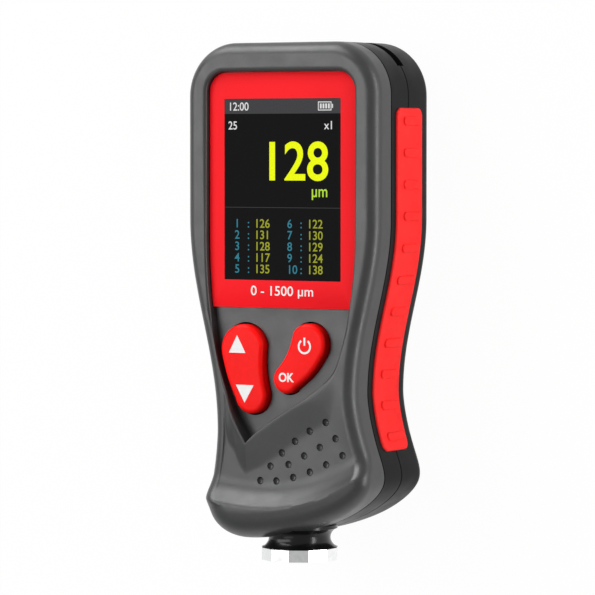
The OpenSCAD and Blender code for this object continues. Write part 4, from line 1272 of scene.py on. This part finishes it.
class GAUGE_OT_probe(bpy.types.Operator):
    """Black probe neck, faceted chrome foot and the parts of the sensor"""

    bl_idname = "gauge.probe"
    bl_label = "Probe"

    def execute(self, context):
        s, k, f = context.scene.gauge_housing, context.scene.gauge_fittings, context.scene.gauge_finish
        copper = once("enamelled copper", metal, (0.55, 0.2, 0.07), 0.3, stretch=(1, 60, 1), scale=120)
        self.neck(s, k, f)
        self.foot(s, k, f)
        self.spring(k)
        paint("probe_tip", steel())
        paint("probe_winding", copper)
        paint("probe_cap", black_plastic(f))
        return {"FINISHED"}

    def neck(self, s, k, f, edge=0.0002, steps=32, hollow=0.6):
        bore, tube = k.tube
        start, end = TOP_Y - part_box("probe_neck")[1][1], s.body_length + k.neck_length - k.foot_lap
        seat, wide = s.body_length - k.neck_seat, k.neck_radius
        flange, inner = seat + k.flange, end + k.foot_lap - k.neck_floor
        profile = [(bore, start), (tube, start), (tube, seat), (wide - edge, seat), (wide, seat + edge),
                   (wide, flange - edge)]
        for t in [i / steps for i in range(steps + 1)]:
            profile.append((mix(wide, k.neck_waist, math.sin(math.pi * t) ** hollow), mix(flange, end, t)))
        profile += [(k.tip_hole, end), (k.tip_hole, inner), (bore, inner)]
        black = once("black glossy plastic", moulded, f.black, 0.22, grain=0.05, specular=0.3)
        neck = turned("probe_neck_turned", profile, (0, TOP_Y, k.probe_z), (0, -1, 0), 160, black)
        settle(neck, "probe_neck")

    def foot(self, s, k, f, facets=12, bore_steps=48):
        end = s.body_length + k.neck_length + k.foot_height
        start = end - k.foot_height - k.foot_lap
        bevel, wide, notch = k.foot_bevel, k.foot_radius, k.notch

        def ring(count, first, radius, distance):
            """Points round the probe's axis."""
            turns = [polar(first + 2 * math.pi * i / count, radius) for i in range(count)]
            return [Vector((p.x, y_at(distance), k.probe_z + p.y)) for p in turns]

        bm = bmesh.new()
        outer = loft(bm, [ring(facets, math.pi / facets, radius, distance) for radius, distance in (
            (wide - bevel, start), (wide, start + bevel), (wide, end - bevel), (wide - bevel, end))])
        inner = loft(bm, [ring(bore_steps, 0, k.foot_bore, distance) for distance in (start, end)])
        fill(bm, outer[0], inner[0])
        fill(bm, outer[-1], inner[-1])
        foot = build(bm, "probe_foot_faceted", sharp=20)
        half, mouth, apex = 1.56 * notch, y_at(end) - 0.2 * notch, y_at(end) + notch
        reach = 0.02
        cutter = prism("foot notch", [(-half, mouth), (half, mouth), (0, apex)], k.probe_z - reach, k.probe_z + reach)
        carve(foot, [cutter], once("polished chrome", metal, f.chrome, 0.14, scale=900, grain=0.03))
        smooth(foot.data, 10)
        settle(foot, "probe_foot")

    def spring(self, k, turns=3, per_turn=40, sides=12):
        """Coil spring above the plunger, which shortens as the tip is pressed in."""
        low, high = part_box("probe_spring")
        wire = k.spring_wire
        radius = (high[0] - low[0]) / 2 - wire
        steps = turns * per_turn
        rings = []
        for i in range(steps + 1):
            turn = polar(2 * math.pi * i / per_turn)
            out = Vector((turn.x, 0, turn.y))
            centre = Vector((0, mix(high[1] - wire, low[1] + wire, i / steps), k.probe_z)) + out * radius
            round_wire = [polar(2 * math.pi * j / sides, wire) for j in range(sides)]
            rings.append([centre + out * p.x + Vector((0, p.y, 0)) for p in round_wire])
        spring = solid("probe_spring_coil", rings, spring_wire(), 60)
        settle(spring, "probe_spring")
        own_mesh(spring)


class GAUGE_OT_battery(bpy.types.Operator):
    """Battery cover, cells, contacts and springs"""

    bl_idname = "gauge.battery"
    bl_label = "Battery Parts"

    def execute(self, context):
        paint("battery_cover", black_plastic(context.scene.gauge_finish))
        paint("battery_cells", once("cell film", glossy, (0.5, 0.32, 0.03), 0.3, drift=0.1))
        paint("battery_contacts", once("nickel plate", metal, (0.62, 0.58, 0.5), 0.3))
        paint("battery_springs", spring_wire())
        return {"FINISHED"}


class GAUGE_OT_inner_parts(bpy.types.Operator):
    """Display module, gasket, circuit board, switches and screws"""

    bl_idname = "gauge.inner_parts"
    bl_label = "Inner Parts"

    def execute(self, context):
        paint("display_module", dark_screen(context.scene.gauge_finish))
        paint("display_gasket", once("black foam", moulded, (0.02, 0.02, 0.02), 0.8, grain=0.6))
        paint("circuit_board", once("green solder mask", glossy, (0.015, 0.13, 0.05), 0.35, drift=0.15))
        paint("key_switches", steel())
        paint("case_screws", steel())
        return {"FINISHED"}


class GAUGE_OT_studio(bpy.types.Operator):
    """Pale floor, soft lamps and the camera"""

    bl_idname = "gauge.studio"
    bl_label = "Studio"

    def execute(self, context):
        t = context.scene.gauge_studio
        context.scene.view_settings.view_transform = "Standard"
        self.floor(t)
        self.world(t)
        for name, (position, width, height) in LAMPS.items():
            self.lamp(name + " lamp", getattr(t, name + "_power"), position, width, height)
        self.camera(t)
        return {"FINISHED"}

    def floor(self, t, half=3, drop=0.00005):
        bm = bmesh.new()
        bmesh.ops.create_grid(bm, x_segments=8, y_segments=8, size=half, matrix=Matrix.Translation((0, 0, -drop)))
        mesh = bpy.data.meshes.new("floor")
        bm.to_mesh(mesh)
        bm.free()
        material, tree = shader("pale floor")
        fed(material, {"Base Color": (0.86, 0.86, 0.86, 1), "Roughness": 0.9, "Specular IOR Level": 0.1})
        matt, glow = tree.nodes["Principled BSDF"], node(tree, "ShaderNodeEmission")
        blend = node(tree, "ShaderNodeMixShader", {"Fac": maths(tree, "MULTIPLY", self.seen(tree, 1.0), t.glow),
                                                   1: matt.outputs["BSDF"], 2: glow.outputs["Emission"]})
        feed(tree, tree.nodes["Material Output"].inputs["Surface"], blend.outputs["Shader"])
        new_object("floor", mesh, material)

    def seen(self, tree, gloss):
        """1 for rays that see the background straight or through glass, and a share of it in gloss."""
        path = node(tree, "ShaderNodeLightPath").outputs
        straight = maths(tree, "MAXIMUM", path["Is Camera Ray"], path["Is Transmission Ray"])
        return maths(tree, "MAXIMUM", straight, maths(tree, "MULTIPLY", path["Is Glossy Ray"], gloss))

    def world(self, t):
        world = bpy.data.worlds.new("studio")
        bpy.context.scene.world = world
        world.use_nodes = True
        tree = world.node_tree
        background = tree.nodes["Background"].inputs
        level = node(tree, "ShaderNodeMapRange", {"Value": self.seen(tree, t.gloss), "To Min": t.ambient,
                                                  "To Max": 1.0})
        feed(tree, background["Color"], (1, 1, 1, 1))
        feed(tree, background["Strength"], level.outputs["Result"])

    def lamp(self, name, power, position, width, height):
        light = bpy.data.lights.new(name, "AREA")
        light.shape = "RECTANGLE"
        light.size = width
        light.size_y = height
        light.energy = power
        aim = LAMP_AIM - Vector(position)
        turn = aim.to_track_quat("-Z", "Y").to_matrix().to_4x4()
        new_object(name, light).matrix_world = Matrix.Translation(position) @ turn

    def camera(self, t):
        flat = math.cos(t.pitch)
        view = Vector((math.sin(t.yaw) * flat, math.sin(t.pitch), math.cos(t.yaw) * flat))
        right = Vector((0, 1, 0)).cross(view).normalized()
        turn = Matrix((right, view.cross(right), view)).transposed().to_4x4()
        lens = bpy.data.cameras.new("camera")
        lens.sensor_fit = "HORIZONTAL"
        lens.angle = t.view_angle
        lens.clip_start = 0.01
        camera = new_object("camera", lens)
        camera.matrix_world = Matrix.Translation(Vector(t.target) + view * t.distance) @ turn
        bpy.context.scene.camera = camera


class GAUGE_PT_pieces(bpy.types.Panel):
    """Lists the pieces of the gauge"""

    bl_idname = "GAUGE_PT_pieces"
    bl_label = "Coating Thickness Gauge"
    bl_space_type = "VIEW_3D"
    bl_region_type = "UI"
    bl_category = "Gauge"

    def draw(self, context):
        for operator in OPERATORS:
            self.layout.operator(operator.bl_idname)


OPERATORS = (GAUGE_OT_front_cover, GAUGE_OT_black_case, GAUGE_OT_side_grips, GAUGE_OT_window, GAUGE_OT_keys,
             GAUGE_OT_probe, GAUGE_OT_battery, GAUGE_OT_inner_parts, GAUGE_OT_studio)
SETTINGS = {"gauge_housing": GaugeHousing, "gauge_fittings": GaugeFittings, "gauge_finish": GaugeFinish,
            "gauge_studio": GaugeStudio}


def register():
    for group in SETTINGS.values():
        bpy.utils.register_class(group)
    for name, group in SETTINGS.items():
        setattr(bpy.types.Scene, name, PointerProperty(type=group))
    for item in OPERATORS + (GAUGE_PT_pieces,):
        bpy.utils.register_class(item)


def unregister():
    for item in reversed(OPERATORS + (GAUGE_PT_pieces,)):
        bpy.utils.unregister_class(item)
    for name, group in SETTINGS.items():
        delattr(bpy.types.Scene, name)
        bpy.utils.unregister_class(group)


def main():
    register()
    bpy.ops.gauge.front_cover()
    bpy.ops.gauge.black_case()
    bpy.ops.gauge.side_grips()
    bpy.ops.gauge.window()
    bpy.ops.gauge.keys()
    bpy.ops.gauge.probe()
    bpy.ops.gauge.battery()
    bpy.ops.gauge.inner_parts()
    bpy.ops.gauge.studio()


if __name__ == "__main__":
    main()
